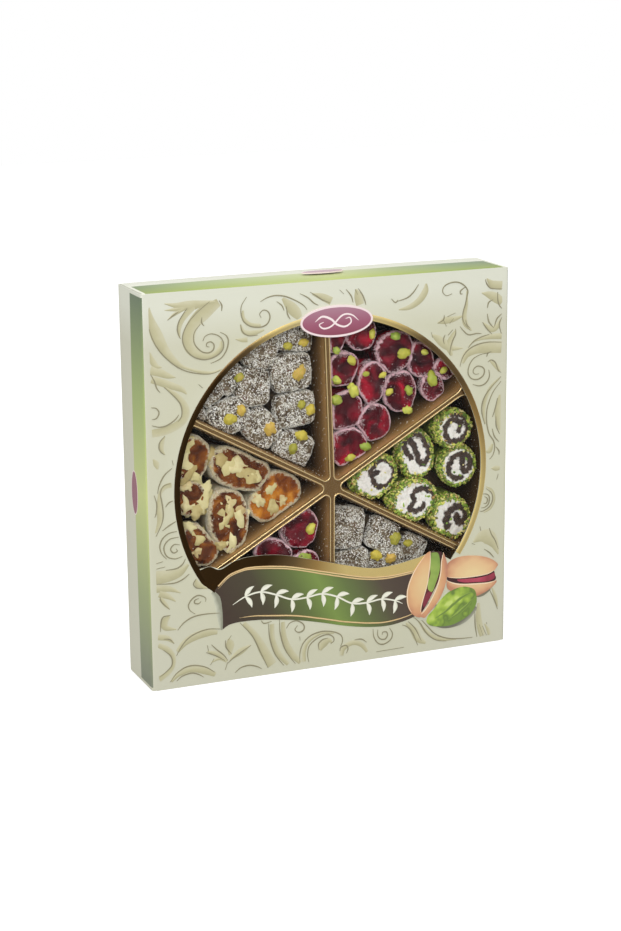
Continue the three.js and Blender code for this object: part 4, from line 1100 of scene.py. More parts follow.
def tray_shell():
    """Front and back skins of the formed sheet, joined round the tray's outer edge."""
    vertices, faces = [], []
    outer_corners = []
    for x_sign, z_sign, start in ((1, 1, 0), (-1, 1, 90), (-1, -1, 180), (1, -1, 270)):
        corner = (TRAY_CENTRE[0] + x_sign * (TRAY_HALF[0] - TRAY_EDGE_RADIUS),
                  TRAY_CENTRE[1] + z_sign * (TRAY_HALF[1] - TRAY_EDGE_RADIUS))
        outer_corners += arc(corner, TRAY_EDGE_RADIUS, start, 90, 8)
    rims = []
    for skin in (0, 1):
        loops = [outer_corners]
        loop_starts = []
        for i, divider in enumerate(DIVIDERS):
            after = DIVIDERS[(i + 1) % len(DIVIDERS)] + (360 if i == len(DIVIDERS) - 1 else 0)
            middle, half = (divider + after) / 2, (after - divider) / 2
            rings = cup_rings(middle, half, skin)
            loops.append([(x, z) for x, _, z in rings[0]])
            start = len(vertices)
            loop_starts.append(start)
            for ring in rings:
                vertices += ring
            count = len(rings[0])
            for level in range(len(rings) - 1):
                for j in range(count):
                    a, b = start + level * count + j, start + level * count + (j + 1) % count
                    faces.append((a, b, b + count, a + count))
            floor = start + (len(rings) - 1) * count
            faces.append(tuple(floor + j for j in range(count)))
        rim = len(vertices)
        rims.append(rim)
        vertices += [(x, WEB_FRONT + BEAD + skin * SHEET, z) for x, z in outer_corners]
        index = [rim + j for j in range(len(outer_corners))]
        for start, loop in zip(loop_starts, loops[1:]):
            index += [start + j for j in range(len(loop))]
        triangles = tessellate_polygon([[Vector((x, z, 0)) for x, z in loop] for loop in loops])
        faces += [tuple(index[j] for j in t) for t in triangles]
    count = len(outer_corners)
    for j in range(count):
        faces.append((rims[0] + j, rims[0] + (j + 1) % count, rims[1] + (j + 1) % count, rims[1] + j))
    return vertices, faces


gold_plastic, gold_tree, gold_shader, gold_place = new_material("metallised_gold_plastic", 0.25)
gold_axes = add_node(gold_tree, "ShaderNodeSeparateXYZ", {0: gold_place})
gold_depth = add_node(gold_tree, "ShaderNodeMapRange", {0: gold_axes.outputs["Y"], 1: WEB_FRONT * MM,
                                                        2: (WEB_FRONT + 20) * MM})
# Painted highlight and shade: pale gold on the bead's top, darker on the webs, darker brown deeper in the
# cups.
gold_painted_light = add_node(gold_tree, "ShaderNodeValToRGB", {0: gold_depth}, stops=[
    (0.0, "#ecd4a0"), (0.01, "#cdab6e"), (0.02, "#7c603a"), (0.1, "#b28b56"), (0.4, "#8e6c44"),
    (1.0, "#4c3927")])
gold_metal = add_node(gold_tree, "ShaderNodeMapRange", {0: gold_depth, 1: 0.01, 2: 0.06, 3: 0.85, 4: 0.3})
gold_wave = add_node(gold_tree, "ShaderNodeTexNoise", {"Vector": gold_place, "Scale": 1 / (14 * MM),
                                                       "Detail": 2.0})
gold_bump = add_node(gold_tree, "ShaderNodeBump", {"Height": gold_wave, "Strength": 0.35,
                                                   "Distance": 0.8 * MM})
feed(gold_tree, gold_shader, {"Base Color": gold_painted_light, "Metallic": gold_metal, "Normal": gold_bump})
tray_form = tray_shell()
front_count = len(tray_form[0]) // 2
tray_cover = [1.0 if i < front_count and BEAD < y - WEB_FRONT < CRUMB_DEPTH else 0.0
              for i, (_, y, _) in enumerate(tray_form[0])]
tray = make_piece("formed_tray", [tray_form], gold_plastic, replaces=("tray",), flat_angle=50,
                  values={"cover": tray_cover})

# Coconut cubes: soft dark jelly, cut square and rolled in white coconut shreds, with a few big pieces of
# pistachio pressed in. Each keeps its CAD form, with the facets melted into a soft skin, and the shreds are
# scattered over its face and the part of its sides that the window shows.
VOXEL = 0.85
RIM_DIRECTIONS = 16
RIM_PROBE = 1.6
SIDE_SHOWN = 9.0
FACE_NORMAL = -0.35
SIDE_NORMAL = 0.4
NUT_LEAN = 0.4
UPPER_CUBES = 11
CUBE_NUT_WIDTH = 0.8
SHRED_PATCH = 5
SHRED_COVER = 0.8
COCONUT_NUTS = [
    (-22.5, 138, 6.5, 75), (-17, 145.5, 8, -25), (-37.5, 152, 10, -60), (-17, 165, 5.5, 60),
    (-11, 161, 7, 80), (-18, 184.5, 10, 55), (-25.5, 201.5, 6, -10), (-15, 202.5, 6, 0),
    (-56.5, 185, 6, 50), (-63, 160.5, 8.5, 5), (-56, 165.5, 7, 75), (44.5, 74.5, 9, 75),
    (32, 64.5, 7.5, -45), (41.5, 62, 7.5, 15), (54, 70, 6, 0),
]


def melted(name, rounding, relief, relief_size):
    """A CAD sweet's own form with its facets melted, uneven by a fine relief, as a mesh in metres."""
    mesh = frame["nodes"][name].data.copy()
    work = bmesh.new()
    work.from_mesh(mesh)
    bmesh.ops.remove_doubles(work, verts=work.verts, dist=0.001 * MM)
    work.to_mesh(mesh)
    work.free()
    rough = bpy.data.objects.new(name + "_rough", mesh)
    bpy.context.collection.objects.link(rough)
    remesh = rough.modifiers.new("remesh", "REMESH")
    remesh.mode = "VOXEL"
    remesh.voxel_size = VOXEL * MM
    relax = rough.modifiers.new("relax", "SMOOTH")
    relax.factor = 0.5
    relax.iterations = rounding
    soft = bpy.data.meshes.new_from_object(rough.evaluated_get(bpy.context.evaluated_depsgraph_get()))
    bpy.data.objects.remove(rough)
    normals = [v.normal.copy() for v in soft.vertices]
    for vertex, normal in zip(soft.vertices, normals):
        vertex.co += normal * relief * MM * noise.noise(vertex.co / (relief_size * MM))
    soft.polygons.foreach_set("use_smooth", [True] * len(soft.polygons))
    return soft


def measure_rim(mesh, side_fall):
    """Stores how far each point lies from the edge of the sweet's face, in millimetres: on the face as it is,
    on the sides times side_fall. Also stores which part the window can show."""
    tree = BVHTree.FromPolygons([v.co for v in mesh.vertices], [tuple(p.vertices) for p in mesh.polygons])
    directions = [Vector((math.cos(2 * math.pi * i / RIM_DIRECTIONS), 0,
                          math.sin(2 * math.pi * i / RIM_DIRECTIONS))) for i in range(RIM_DIRECTIONS)]
    front = min(v.co.y for v in mesh.vertices)
    rims, covers = [], []
    for vertex in mesh.vertices:
        if vertex.normal.y < FACE_NORMAL:
            start = vertex.co + Vector((0, RIM_PROBE * MM, 0))
            hits = [tree.ray_cast(start, direction)[3] for direction in directions]
            rims.append(min((hit for hit in hits if hit is not None), default=0.0) / MM)
        else:
            hit = tree.ray_cast(vertex.co - vertex.normal * RIM_PROBE * MM, Vector((0, -1, 0)))[3]
            rims.append((hit or 0.0) * side_fall / MM)
        shown = vertex.co.y < front + SIDE_SHOWN * MM and vertex.normal.y < SIDE_NORMAL
        covers.append(1.0 if shown else 0.0)
    mesh.attributes.new("rim", "FLOAT", "POINT").data.foreach_set("value", rims)
    mesh.attributes.new("cover", "FLOAT", "POINT").data.foreach_set("value", covers)
    return tree


def place_sweets(kind, material, rounding, relief, relief_size, side_fall=0.0):
    """One soft piece for each CAD sweet of a kind; returns the pieces and their surface trees."""
    made = []
    for name in sorted(n for n in frame["nodes"] if n.startswith(kind)):
        mesh = melted(name, rounding, relief, relief_size)
        mesh.name = name + "_soft"
        mesh.materials.clear()
        mesh.materials.append(material)
        tree = measure_rim(mesh, side_fall)
        piece = bpy.data.objects.new(name + "_soft", mesh)
        bpy.context.collection.objects.link(piece)
        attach(piece, "root")
        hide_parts(name)
        made.append((piece, tree))
    return made


def touch(sweets, x, z):
    """Where a line from the front meets the nearest sweet, with the surface's normal; metres."""
    best = None
    for _, tree in sweets:
        place, normal, _, _ = tree.ray_cast(Vector((x * MM, FRONT * MM * 2, z * MM)), Vector((0, 1, 0)))
        if place is not None and (best is None or place.y < best[0].y):
            best = (place, normal)
    return best


def lump(length, width, depth, lobes, seed):
    """An uneven, lobed lump of a broken nut, long along X, facing -Y, as points and faces in metres."""
    work = bmesh.new()
    bmesh.ops.create_icosphere(work, subdivisions=3, radius=0.5)
    points = []
    for vertex in work.verts:
        way = vertex.co.normalized()
        swell = 1 + lobes * noise.noise(way * 1.9 + Vector((seed * 7.3, 0, 0))) + 0.12 * noise.noise(
            way * 5 + Vector((0, seed * 3.1, 0)))
        points.append(Vector((vertex.co.x * length, vertex.co.z * depth, vertex.co.y * width)) * swell * MM)
    faces = [tuple(v.index for v in face.verts) for face in work.faces]
    work.free()
    return points, faces


def press_in(name, rows, sweets, material, flatness, proud, lobes):
    """Nut pieces pressed into the faces of sweets, one piece for each cup's worth."""
    vertices, faces, tints = [], [], []
    for i, (x, z, length, width, turn) in enumerate(rows):
        hit = touch(sweets, x, z)
        if hit is None:
            continue
        place, normal = hit
        depth = min(length, width) * flatness
        points, lump_faces = lump(length, width, depth, lobes, i + 1)
        leaning = normal.lerp(Vector((0, -1, 0)), NUT_LEAN).normalized()
        facing = Vector((0, -1, 0)).rotation_difference(leaning)
        spin = Matrix.Rotation(-math.radians(turn), 3, "Y")
        centre = place - Vector((0, -1, 0)) * (depth / 2 - proud) * MM
        faces += [tuple(j + len(vertices) for j in face) for face in lump_faces]
        vertices += [(facing @ (spin @ p) + centre) / MM for p in points]
        tints += [(i * 0.37) % 1.0] * len(points)
    return make_piece(name, [(vertices, faces)], material, flat_angle=70, values={"tint": tints})


def granule(length, width, height, seed):
    """A coarse grain with eight flat faces, in metres."""
    draw = random.Random(seed)
    tips = [(0.5, 0, 0), (0, 0.5, 0), (-0.5, 0, 0), (0, -0.5, 0), (0, 0, 0.5), (0, 0, -0.5)]
    vertices = [Vector((x * length, y * width, z * height)) * draw.uniform(0.75, 1.25) * MM
                for x, y, z in tips]
    faces = [(i, (i + 1) % 4, 4) for i in range(4)] + [((i + 1) % 4, i, 5) for i in range(4)]
    mesh = bpy.data.meshes.new("granule")
    mesh.from_pydata(vertices, [], faces)
    return mesh


def chip(length, width, height, seed):
    """A chopped nut chip, a rough faceted pebble of twenty faces, in metres."""
    work = bmesh.new()
    bmesh.ops.create_icosphere(work, subdivisions=1, radius=0.5)
    draw = random.Random(seed)
    for vertex in work.verts:
        vertex.co = Vector((vertex.co.x * length, vertex.co.y * width,
                            vertex.co.z * height)) * draw.uniform(0.7, 1.2) * MM
    mesh = bpy.data.meshes.new("chip")
    work.to_mesh(mesh)
    work.free()
    return mesh


def scatter(name, surfaces, shapes, material, density, sizes, tilt, seed, lift):
    """Scatters small shapes over the covered part of some meshes by Geometry Nodes, as one plain piece."""
    ground = bpy.data.meshes.new(name + "_ground")
    work = bmesh.new()
    for surface in surfaces:
        work.from_mesh(surface)
    work.to_mesh(ground)
    work.free()
    holder = bpy.data.objects.new(name, ground)
    bpy.context.collection.objects.link(holder)
    kit = bpy.data.collections.new(name + "_shapes")
    for i, mesh in enumerate(shapes):
        kit.objects.link(bpy.data.objects.new(f"{name}_shape_{i}", mesh))

    tree = bpy.data.node_groups.new(name + "_scatter", "GeometryNodeTree")
    tree.interface.new_socket("Ground", in_out="INPUT", socket_type="NodeSocketGeometry")
    sockets = {label: tree.interface.new_socket(label, in_out="INPUT", socket_type=kind).identifier
               for label, kind in (("Density", "NodeSocketFloat"), ("Smallest", "NodeSocketFloat"),
                                   ("Largest", "NodeSocketFloat"), ("Tilt", "NodeSocketFloat"),
                                   ("Lift", "NodeSocketFloat"), ("Seed", "NodeSocketInt"))}
    tree.interface.new_socket("Pieces", in_out="OUTPUT", socket_type="NodeSocketGeometry")
    given = add_node(tree, "NodeGroupInput").outputs
    cover = add_node(tree, "GeometryNodeInputNamedAttribute", {"Name": "cover"}, data_type="FLOAT")
    dense = add_node(tree, "ShaderNodeMath", {0: cover, 1: given["Density"]}, operation="MULTIPLY")
    points = add_node(tree, "GeometryNodeDistributePointsOnFaces", {
        "Mesh": given["Ground"], "Density": dense, "Seed": given["Seed"]}, distribute_method="RANDOM")
    tilt_low = add_node(tree, "ShaderNodeMath", {0: given["Tilt"], 1: -1.0}, operation="MULTIPLY")
    low = add_node(tree, "ShaderNodeCombineXYZ", {0: tilt_low, 1: tilt_low, 2: 0.0})
    high = add_node(tree, "ShaderNodeCombineXYZ", {0: given["Tilt"], 1: given["Tilt"], 2: 2 * math.pi})
    turn = add_node(tree, "FunctionNodeRandomValue", {0: low, 1: high, "Seed": given["Seed"]},
                    data_type="FLOAT_VECTOR")
    rotation = add_node(tree, "FunctionNodeRotateRotation", {
        "Rotation": points.outputs["Rotation"], "Rotate By": turn}, rotation_space="LOCAL")
    size = add_node(tree, "FunctionNodeRandomValue", {2: given["Smallest"], 3: given["Largest"],
                                                      "Seed": given["Seed"]}, data_type="FLOAT")
    pick = add_node(tree, "FunctionNodeRandomValue", {4: 0, 5: len(shapes) - 1, "Seed": given["Seed"]},
                    data_type="INT")
    shapes_node = add_node(tree, "GeometryNodeCollectionInfo", {0: kit, 1: True, 2: True})
    raised = add_node(tree, "ShaderNodeVectorMath", {0: points.outputs["Normal"], "Scale": given["Lift"]},
                      operation="SCALE")
    lifted = add_node(tree, "GeometryNodeSetPosition", {"Geometry": points.outputs["Points"],
                                                        "Offset": raised})
    placed = add_node(tree, "GeometryNodeInstanceOnPoints", {
        "Points": lifted, "Instance": shapes_node, "Pick Instance": True,
        "Instance Index": pick.outputs[2], "Rotation": rotation, "Scale": size.outputs[1]})
    chance = add_node(tree, "FunctionNodeRandomValue", {2: 0.0, 3: 1.0, "Seed": 3}, data_type="FLOAT")
    tinted = add_node(tree, "GeometryNodeStoreNamedAttribute", {
        "Geometry": placed, "Name": "tint", "Value": chance.outputs[1]}, data_type="FLOAT", domain="INSTANCE")
    real = add_node(tree, "GeometryNodeRealizeInstances", {0: tinted})
    dressed = add_node(tree, "GeometryNodeSetMaterial", {"Geometry": real, "Material": material})
    add_node(tree, "NodeGroupOutput", {0: dressed})

    modifier = holder.modifiers.new("scatter", "NODES")
    modifier.node_group = tree
    for label, value in (("Density", density / MM ** 2), ("Smallest", sizes[0]), ("Largest", sizes[1]),
                         ("Tilt", tilt), ("Lift", lift * MM), ("Seed", seed)):
        modifier[sockets[label]] = value
    made = bpy.data.meshes.new_from_object(holder.evaluated_get(bpy.context.evaluated_depsgraph_get()))
    holder.modifiers.clear()
    holder.data = made
    made.polygons.foreach_set("use_smooth", [False] * len(made.polygons))
    for shape in list(kit.objects):
        bpy.data.objects.remove(shape)
    bpy.data.collections.remove(kit)
    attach(holder, "root")
    return holder


def tinted_material(name, stops, roughness, grain=0.6):
    """A matte material whose colour varies from one scattered piece to the next, and a little within it."""
    material, tree, shader, place = new_material(name, roughness)
    tint = add_node(tree, "ShaderNodeAttribute", attribute_name="tint")
    fine = add_node(tree, "ShaderNodeTexNoise", {"Vector": place, "Scale": 1 / (grain * MM), "Detail": 2.0})
    mixed = uneven(tree, fine, 0.5, tint.outputs["Fac"])
    ramp = add_node(tree, "ShaderNodeValToRGB", {0: mixed}, stops=stops)
    bump = add_node(tree, "ShaderNodeBump", {"Height": fine, "Strength": 0.5, "Distance": 0.2 * MM})
    feed(tree, shader, {"Base Color": ramp, "Normal": bump})
    return material


dark_jelly, dark_tree, dark_shader, dark_place = new_material("dark_starch_jelly", 0.4)
dark_patch = add_node(dark_tree, "ShaderNodeTexNoise",
                      {"Vector": dark_place, "Scale": 1 / (7 * MM), "Detail": 3.0})
dark_tone = add_node(dark_tree, "ShaderNodeValToRGB", {0: dark_patch}, stops=[
    (0.3, "#3a2d20"), (0.48, "#5a4a36"), (0.6, "#786a54"), (0.75, "#5e342e")])
feed(dark_tree, dark_shader, {"Base Color": dark_tone})
coconut = tinted_material("dried_coconut", [(0.0, "#a39c88"), (0.35, "#cdc9bb"), (0.7, "#e8e6de"),
                                            (1.0, "#fafaf6")], 0.7)
pistachio = tinted_material("cut_pistachio", [
    (0.0, "#9a9834"), (0.3, "#bcae3c"), (0.55, "#cfb94a"), (0.8, "#c8a24c"), (1.0, "#aaa83c")], 0.6, 1.6)

cubes = place_sweets("coconut_cube", dark_jelly, rounding=3, relief=0.35, relief_size=3)
cube_nuts = [(x, z, length, length * CUBE_NUT_WIDTH, turn) for x, z, length, turn in COCONUT_NUTS]
press_in("cube_nuts", cube_nuts, cubes, pistachio, flatness=0.8, proud=1.5, lobes=0.4)
for piece, _ in cubes:
    for vertex, cover in zip(piece.data.vertices, piece.data.attributes["cover"].data):
        cover.value *= SHRED_COVER + noise.noise(vertex.co / (SHRED_PATCH * MM))
shreds = [granule(1.9, 0.8, 0.5, 1), granule(1.4, 0.8, 0.6, 2), granule(1.1, 0.9, 0.6, 3),
          granule(2.2, 0.6, 0.5, 4)]
for label, some, seed in (("coconut_shreds_upper", cubes[:UPPER_CUBES], 11),
                          ("coconut_shreds_lower", cubes[UPPER_CUBES:], 12)):
    scatter(label, [piece.data for piece, _ in some], shreds, coconut,
            density=1.55, sizes=(0.55, 1.3), tilt=0.6, seed=seed, lift=0.15)

# Ruby slices: clear dark red jelly set round whole pistachios and cut across, dusted with sugar and starch
# that clings to the cut's rim and lies thick where slices touch.
RUBY_NUTS = [
    (24.5, 135, 7, -10), (15, 128.5, 6.5, 15), (16.5, 170.5, 9, -65), (5, 166, 8, -5), (16.5, 189, 7, -50),
    (6.5, 177.5, 6.5, -40), (24.5, 180.5, 4.5, 0), (36, 178.5, 5, 20), (45.5, 201.5, 6.5, 0),
    (50.5, 190.5, 9, 10), (65, 190, 5, -30), (54.5, 167, 7, -60), (41.5, 167, 5.5, 20), (54, 154.5, 7, -20),
    (70.5, 172.5, 10, -75), (30.5, 203.5, 6, 80), (6, 196, 5.5, -35), (78, 177.5, 5.5, 30),
    (-11.5, 87, 7, 60), (-16, 69.5, 9, -12),
]
JELLY_ROUGHNESS = 0.12
POWDER_ROUGHNESS = 0.9
SLICE_NUT_WIDTH = 0.72


def jelly(name, stops, patch, powder, rim, haze):
    """Clear coloured jelly, glossy and lit a little from within, with powder on its rim and a thin haze."""
    material, tree, shader, place = new_material(name, JELLY_ROUGHNESS)
    patches = add_node(tree, "ShaderNodeTexNoise", {"Vector": place, "Scale": 1 / (patch * MM), "Detail": 2.0,
                                                    "Distortion": 0.6})
    tone = add_node(tree, "ShaderNodeValToRGB", {0: patches}, stops=stops)
    depth_in = add_node(tree, "ShaderNodeAttribute", attribute_name="rim")
    grains = add_node(tree, "ShaderNodeTexNoise", {"Vector": place, "Scale": 1 / (1.7 * MM), "Detail": 5.0})
    ragged = uneven(tree, grains, 3.2 * rim, depth_in.outputs["Fac"])
    dusted = add_node(tree, "ShaderNodeMapRange", {0: ragged, 1: 0.55 * rim, 2: 1.25 * rim, 3: 1.0, 4: 0.0})
    drift = add_node(tree, "ShaderNodeTexNoise", {"Vector": place, "Scale": 1 / (5 * MM), "Detail": 5.0})
    hazy = add_node(tree, "ShaderNodeMapRange", {0: drift, 1: 0.45, 2: 0.75, 3: 0.0, 4: haze})
    powdered = add_node(tree, "ShaderNodeMath", {0: dusted, 1: hazy}, operation="MAXIMUM")
    colour = add_node(tree, "ShaderNodeMix", {0: powdered, 6: tone, 7: linear(powder)}, data_type="RGBA")
    dull = add_node(tree, "ShaderNodeMapRange", {0: powdered, 1: 0.0, 2: 1.0, 3: JELLY_ROUGHNESS,
                                                 4: POWDER_ROUGHNESS})
    ripples = add_node(tree, "ShaderNodeTexNoise", {"Vector": place, "Scale": 1 / (3 * MM), "Detail": 2.0})
    relief = add_node(tree, "ShaderNodeMath", {0: ripples, 1: 0.3, 2: patches}, operation="MULTIPLY_ADD")
    bump = add_node(tree, "ShaderNodeBump", {"Height": relief, "Strength": 0.7, "Distance": 1.6 * MM})
    feed(tree, shader, {"Base Color": colour.outputs[2], "Roughness": dull, "Normal": bump,
                        "Specular IOR Level": 0.2, "Subsurface Weight": 0.15,
                        "Subsurface Radius": (1.0, 0.25, 0.15), "Subsurface Scale": 1.5 * MM})
    return material


ruby_jelly = jelly("ruby_starch_jelly", [(0.3, "#230208"), (0.45, "#480511"), (0.58, "#760a1e"),
                                         (0.75, "#b81830")], patch=11, powder="#dcb6be", rim=0.95, haze=0.04)
sugar = tinted_material("sugar_and_starch", [(0.0, "#cfaab0"), (0.5, "#e2c6ca"), (1.0, "#efe2e2")], 0.85)
slices = place_sweets("ruby_slice", ruby_jelly, rounding=4, relief=0.7, relief_size=5,
                      side_fall=0.35)
green_nut = tinted_material("whole_pistachio", [
    (0.0, "#93a83c"), (0.3, "#b5b440"), (0.6, "#cfc64e"), (0.85, "#c4cc58"), (1.0, "#8fae44")], 0.5, 2.2)
slice_nuts = [(x, z, length, length * SLICE_NUT_WIDTH, turn) for x, z, length, turn in RUBY_NUTS]
press_in("slice_nuts", slice_nuts, slices, green_nut, flatness=0.8, proud=0.9, lobes=0.35)

# Cream rolls: white nougat rolled up with cocoa, dipped in chopped pistachio and cut across, so that a
# dark swirl shows in a white face inside a thick green coat.
COAT = 2.6
FACE_CHIPS = 0.02
SWIRLS = [
    [(27.5, 118), (30.5, 122), (34, 125), (38.5, 125), (43, 121.5), (44.5, 116.5), (42.5, 111.5),
     (38.5, 108.3), (33.5, 108.6), (30, 112.5), (29.5, 117), (33, 117.5)],
    [(56.5, 124), (53, 128.5), (51.8, 133), (54.5, 137.5), (60, 138.5), (64.5, 136), (66.5, 131.5),
     (68.5, 127.5), (67.5, 122.5), (64.5, 119.5), (61.5, 122), (60, 127), (58, 132), (55, 135)],
    [(88, 139), (89.5, 143.5), (84, 146), (79.5, 143), (78.6, 138), (80.8, 133.4), (86, 132), (91.6, 134),
     (94.4, 139), (93.6, 145), (90, 148.4), (84, 149.4)],
    [(91, 122), (91.5, 116), (93, 111.5), (96, 113.5), (96.5, 119), (94, 122.6), (90, 123.4), (85, 121),
     (82.6, 116.5), (83, 111.5), (86.4, 108), (91, 108)],
    [(64, 94), (61.5, 91), (56, 91), (53.5, 92.8), (57.5, 96.5), (56.5, 101.5), (60, 104), (66, 103.4),
     (70.3, 100.6), (71.6, 96.5), (70.5, 92), (67.5, 89.8)],
    [(81.5, 77), (80.6, 82), (82.6, 87), (87.4, 89.6), (92.4, 88.4), (94.6, 84), (93.4, 80), (89.6, 79.4),
     (87.6, 83.4)],
]
SWIRL_WIDTHS = [3.4, 3.9, 4.1, 3.8, 3.6, 5.2]


def measure_swirl(mesh, path):
    """Stores each point's distance from a roll's swirl line, seen from the front, in millimetres."""
    curve = [Vector(p) for p in spline(path, 6)]
    far = []
    for vertex in mesh.vertices:
        spot = Vector((vertex.co.x, vertex.co.z)) / MM
        best = 99.0
        for a, b in zip(curve, curve[1:]):
            step = b - a
            share = max(0.0, min(1.0, (spot - a).dot(step) / max(step.length_squared, 1e-9)))
            best = min(best, (spot - a - step * share).length)
        far.append(best)
    mesh.attributes.new("swirl", "FLOAT", "POINT").data.foreach_set("value", far)


def cream_roll_material(width):
    """White nougat with a cocoa line of the given width, green with nut dust towards its rim."""
    material, tree, shader, place = new_material("nougat_with_cocoa", 0.55)
    swirl = add_node(tree, "ShaderNodeAttribute", attribute_name="swirl")
    rim = add_node(tree, "ShaderNodeAttribute", attribute_name="rim")
    ragged = add_node(tree, "ShaderNodeTexNoise", {"Vector": place, "Scale": 1 / (2.2 * MM), "Detail": 3.0})
    line = uneven(tree, ragged, 4.0, swirl.outputs["Fac"])
    cocoa = add_node(tree, "ShaderNodeMapRange", {0: line, 1: 0.4 * width, 2: 0.62 * width, 3: 1.0, 4: 0.0})
    edge = uneven(tree, ragged, 3.0, rim.outputs["Fac"])
    coat = add_node(tree, "ShaderNodeMapRange", {0: edge, 1: COAT - 0.9, 2: COAT - 0.3, 3: 1.0, 4: 0.0})
    cream = add_node(tree, "ShaderNodeValToRGB", {0: ragged},
                     stops=[(0.35, "#d9d5c9"), (0.55, "#eeebe4"), (0.7, "#e2ddd0")])
    dark = add_node(tree, "ShaderNodeValToRGB", {0: ragged}, stops=[(0.35, "#2e211a"), (0.65, "#4b382b")])
    face = add_node(tree, "ShaderNodeMix", {0: cocoa, 6: cream, 7: dark}, data_type="RGBA")
    dust = add_node(tree, "ShaderNodeValToRGB", {0: ragged}, stops=[(0.35, "#4e5e22"), (0.65, "#88953c")])
    coated = add_node(tree, "ShaderNodeMix", {0: coat, 6: face.outputs[2], 7: dust}, data_type="RGBA")
    bump = add_node(tree, "ShaderNodeBump", {"Height": ragged, "Strength": 0.5, "Distance": 0.6 * MM})
    feed(tree, shader, {"Base Color": coated.outputs[2], "Normal": bump, "Subsurface Weight": 0.1,
                        "Subsurface Scale": 1.0 * MM})
    return material


rolls = place_sweets("cream_roll", None, rounding=5, relief=0.5, relief_size=4)
for (roll, _), path, width in zip(rolls, SWIRLS, SWIRL_WIDTHS):
    measure_swirl(roll.data, path)
    roll.data.materials[0] = cream_roll_material(width)
    covers = roll.data.attributes["cover"].data
    for i, value in enumerate(roll.data.attributes["rim"].data):
        covers[i].value *= 1.0 if value.value < COAT else FACE_CHIPS
chopped = tinted_material("chopped_pistachio", [
    (0.0, "#4c6a22"), (0.15, "#7a9e36"), (0.35, "#a0b846"), (0.5, "#bec656"), (0.65, "#d8ce6a"),
    (0.8, "#e6dc9a"), (0.92, "#9c6a34"), (1.0, "#5a6a24")], 0.65, 1.0)
chips = [chip(3.0, 2.0, 1.4, 1), chip(2.2, 1.8, 1.2, 2), chip(3.3, 1.5, 1.2, 3), chip(1.6, 1.4, 1.0, 4)]
scatter("pistachio_coat", [roll.data for roll, _ in rolls], chips, chopped,
        density=0.55, sizes=(0.5, 1.1), tilt=0.7, seed=21, lift=0.3)

# Walnut rolls: amber jelly, in one of them orange, packed with pale walnut halves, rolled in starch and cut
# across, so that lobed nut meat shows in it inside a thick white rim.
ORANGE_ROLL = 1
WALNUT_STRETCH = 1.3
WALNUT_SWELL = 1.5
WALNUTS = [
    (-70, 136, 10, 8, -50), (-64, 131.5, 15, 10, -38), (-57, 129.5, 14, 9, -15), (-53, 126, 13, 8, -35),
    (-47.5, 123.5, 8, 6, -40), (-65, 107.5, 8, 9, 0), (-66, 101, 10, 10, 0), (-59.5, 99.5, 10, 14, -10),
    (-57.5, 105, 5, 7, 20), (-68.5, 96.5, 7, 6, 0), (-64, 84.5, 10, 5.5, 80), (-70.5, 84, 5, 4, 60),
    (-36.5, 114, 5.5, 5.5, 0), (-44.5, 108, 8, 4.5, -60), (-36.5, 103, 9, 6, 80), (-31.5, 98, 9, 8, -30),
    (-29.5, 106, 5, 5, 0), (-91, 147, 10, 8, 20), (-92.5, 138.5, 13, 8, 85), (-90.5, 129.5, 11, 10, 40),
    (-84, 126.5, 7, 4, -45), (-91, 111, 10, 10, 0), (-85, 106, 8, 6, -20), (-79.5, 113.5, 14, 6.5, 75),
    (-91, 122, 7, 5, 0), (-83.5, 89, 8.5, 9, 0), (-88, 96, 7, 4, -40), (-85, 80.5, 5, 4, 20),
]
amber_jelly = jelly("amber_starch_jelly", [(0.3, "#351709"), (0.46, "#572a0f"), (0.6, "#7a4316"),
                                           (0.8, "#b0742c")], patch=8, powder="#bfb292", rim=1.7, haze=0.0)
orange_jelly = jelly("orange_starch_jelly", [(0.3, "#58260c"), (0.46, "#8c4c18"), (0.6, "#b87222"),
                                             (0.8, "#d69a3e")], patch=8, powder="#bfb292", rim=1.7, haze=0.0)
walnut_rolls = place_sweets("walnut_roll", amber_jelly, rounding=4, relief=0.6, relief_size=5)
walnut_rolls[ORANGE_ROLL][0].data.materials[0] = orange_jelly
walnut = tinted_material("walnut_meat", [(0.0, "#b09c62"), (0.35, "#ccc086"), (0.7, "#d9cf9b"),
                                         (1.0, "#c0a872")], 0.55, 3.0)
halves = [(x, z, length * WALNUT_STRETCH, width * WALNUT_SWELL, turn) for x, z, length, width,
          turn in WALNUTS]
press_in("walnut_pieces", halves, walnut_rolls, walnut, flatness=0.45, proud=0.7, lobes=0.7)

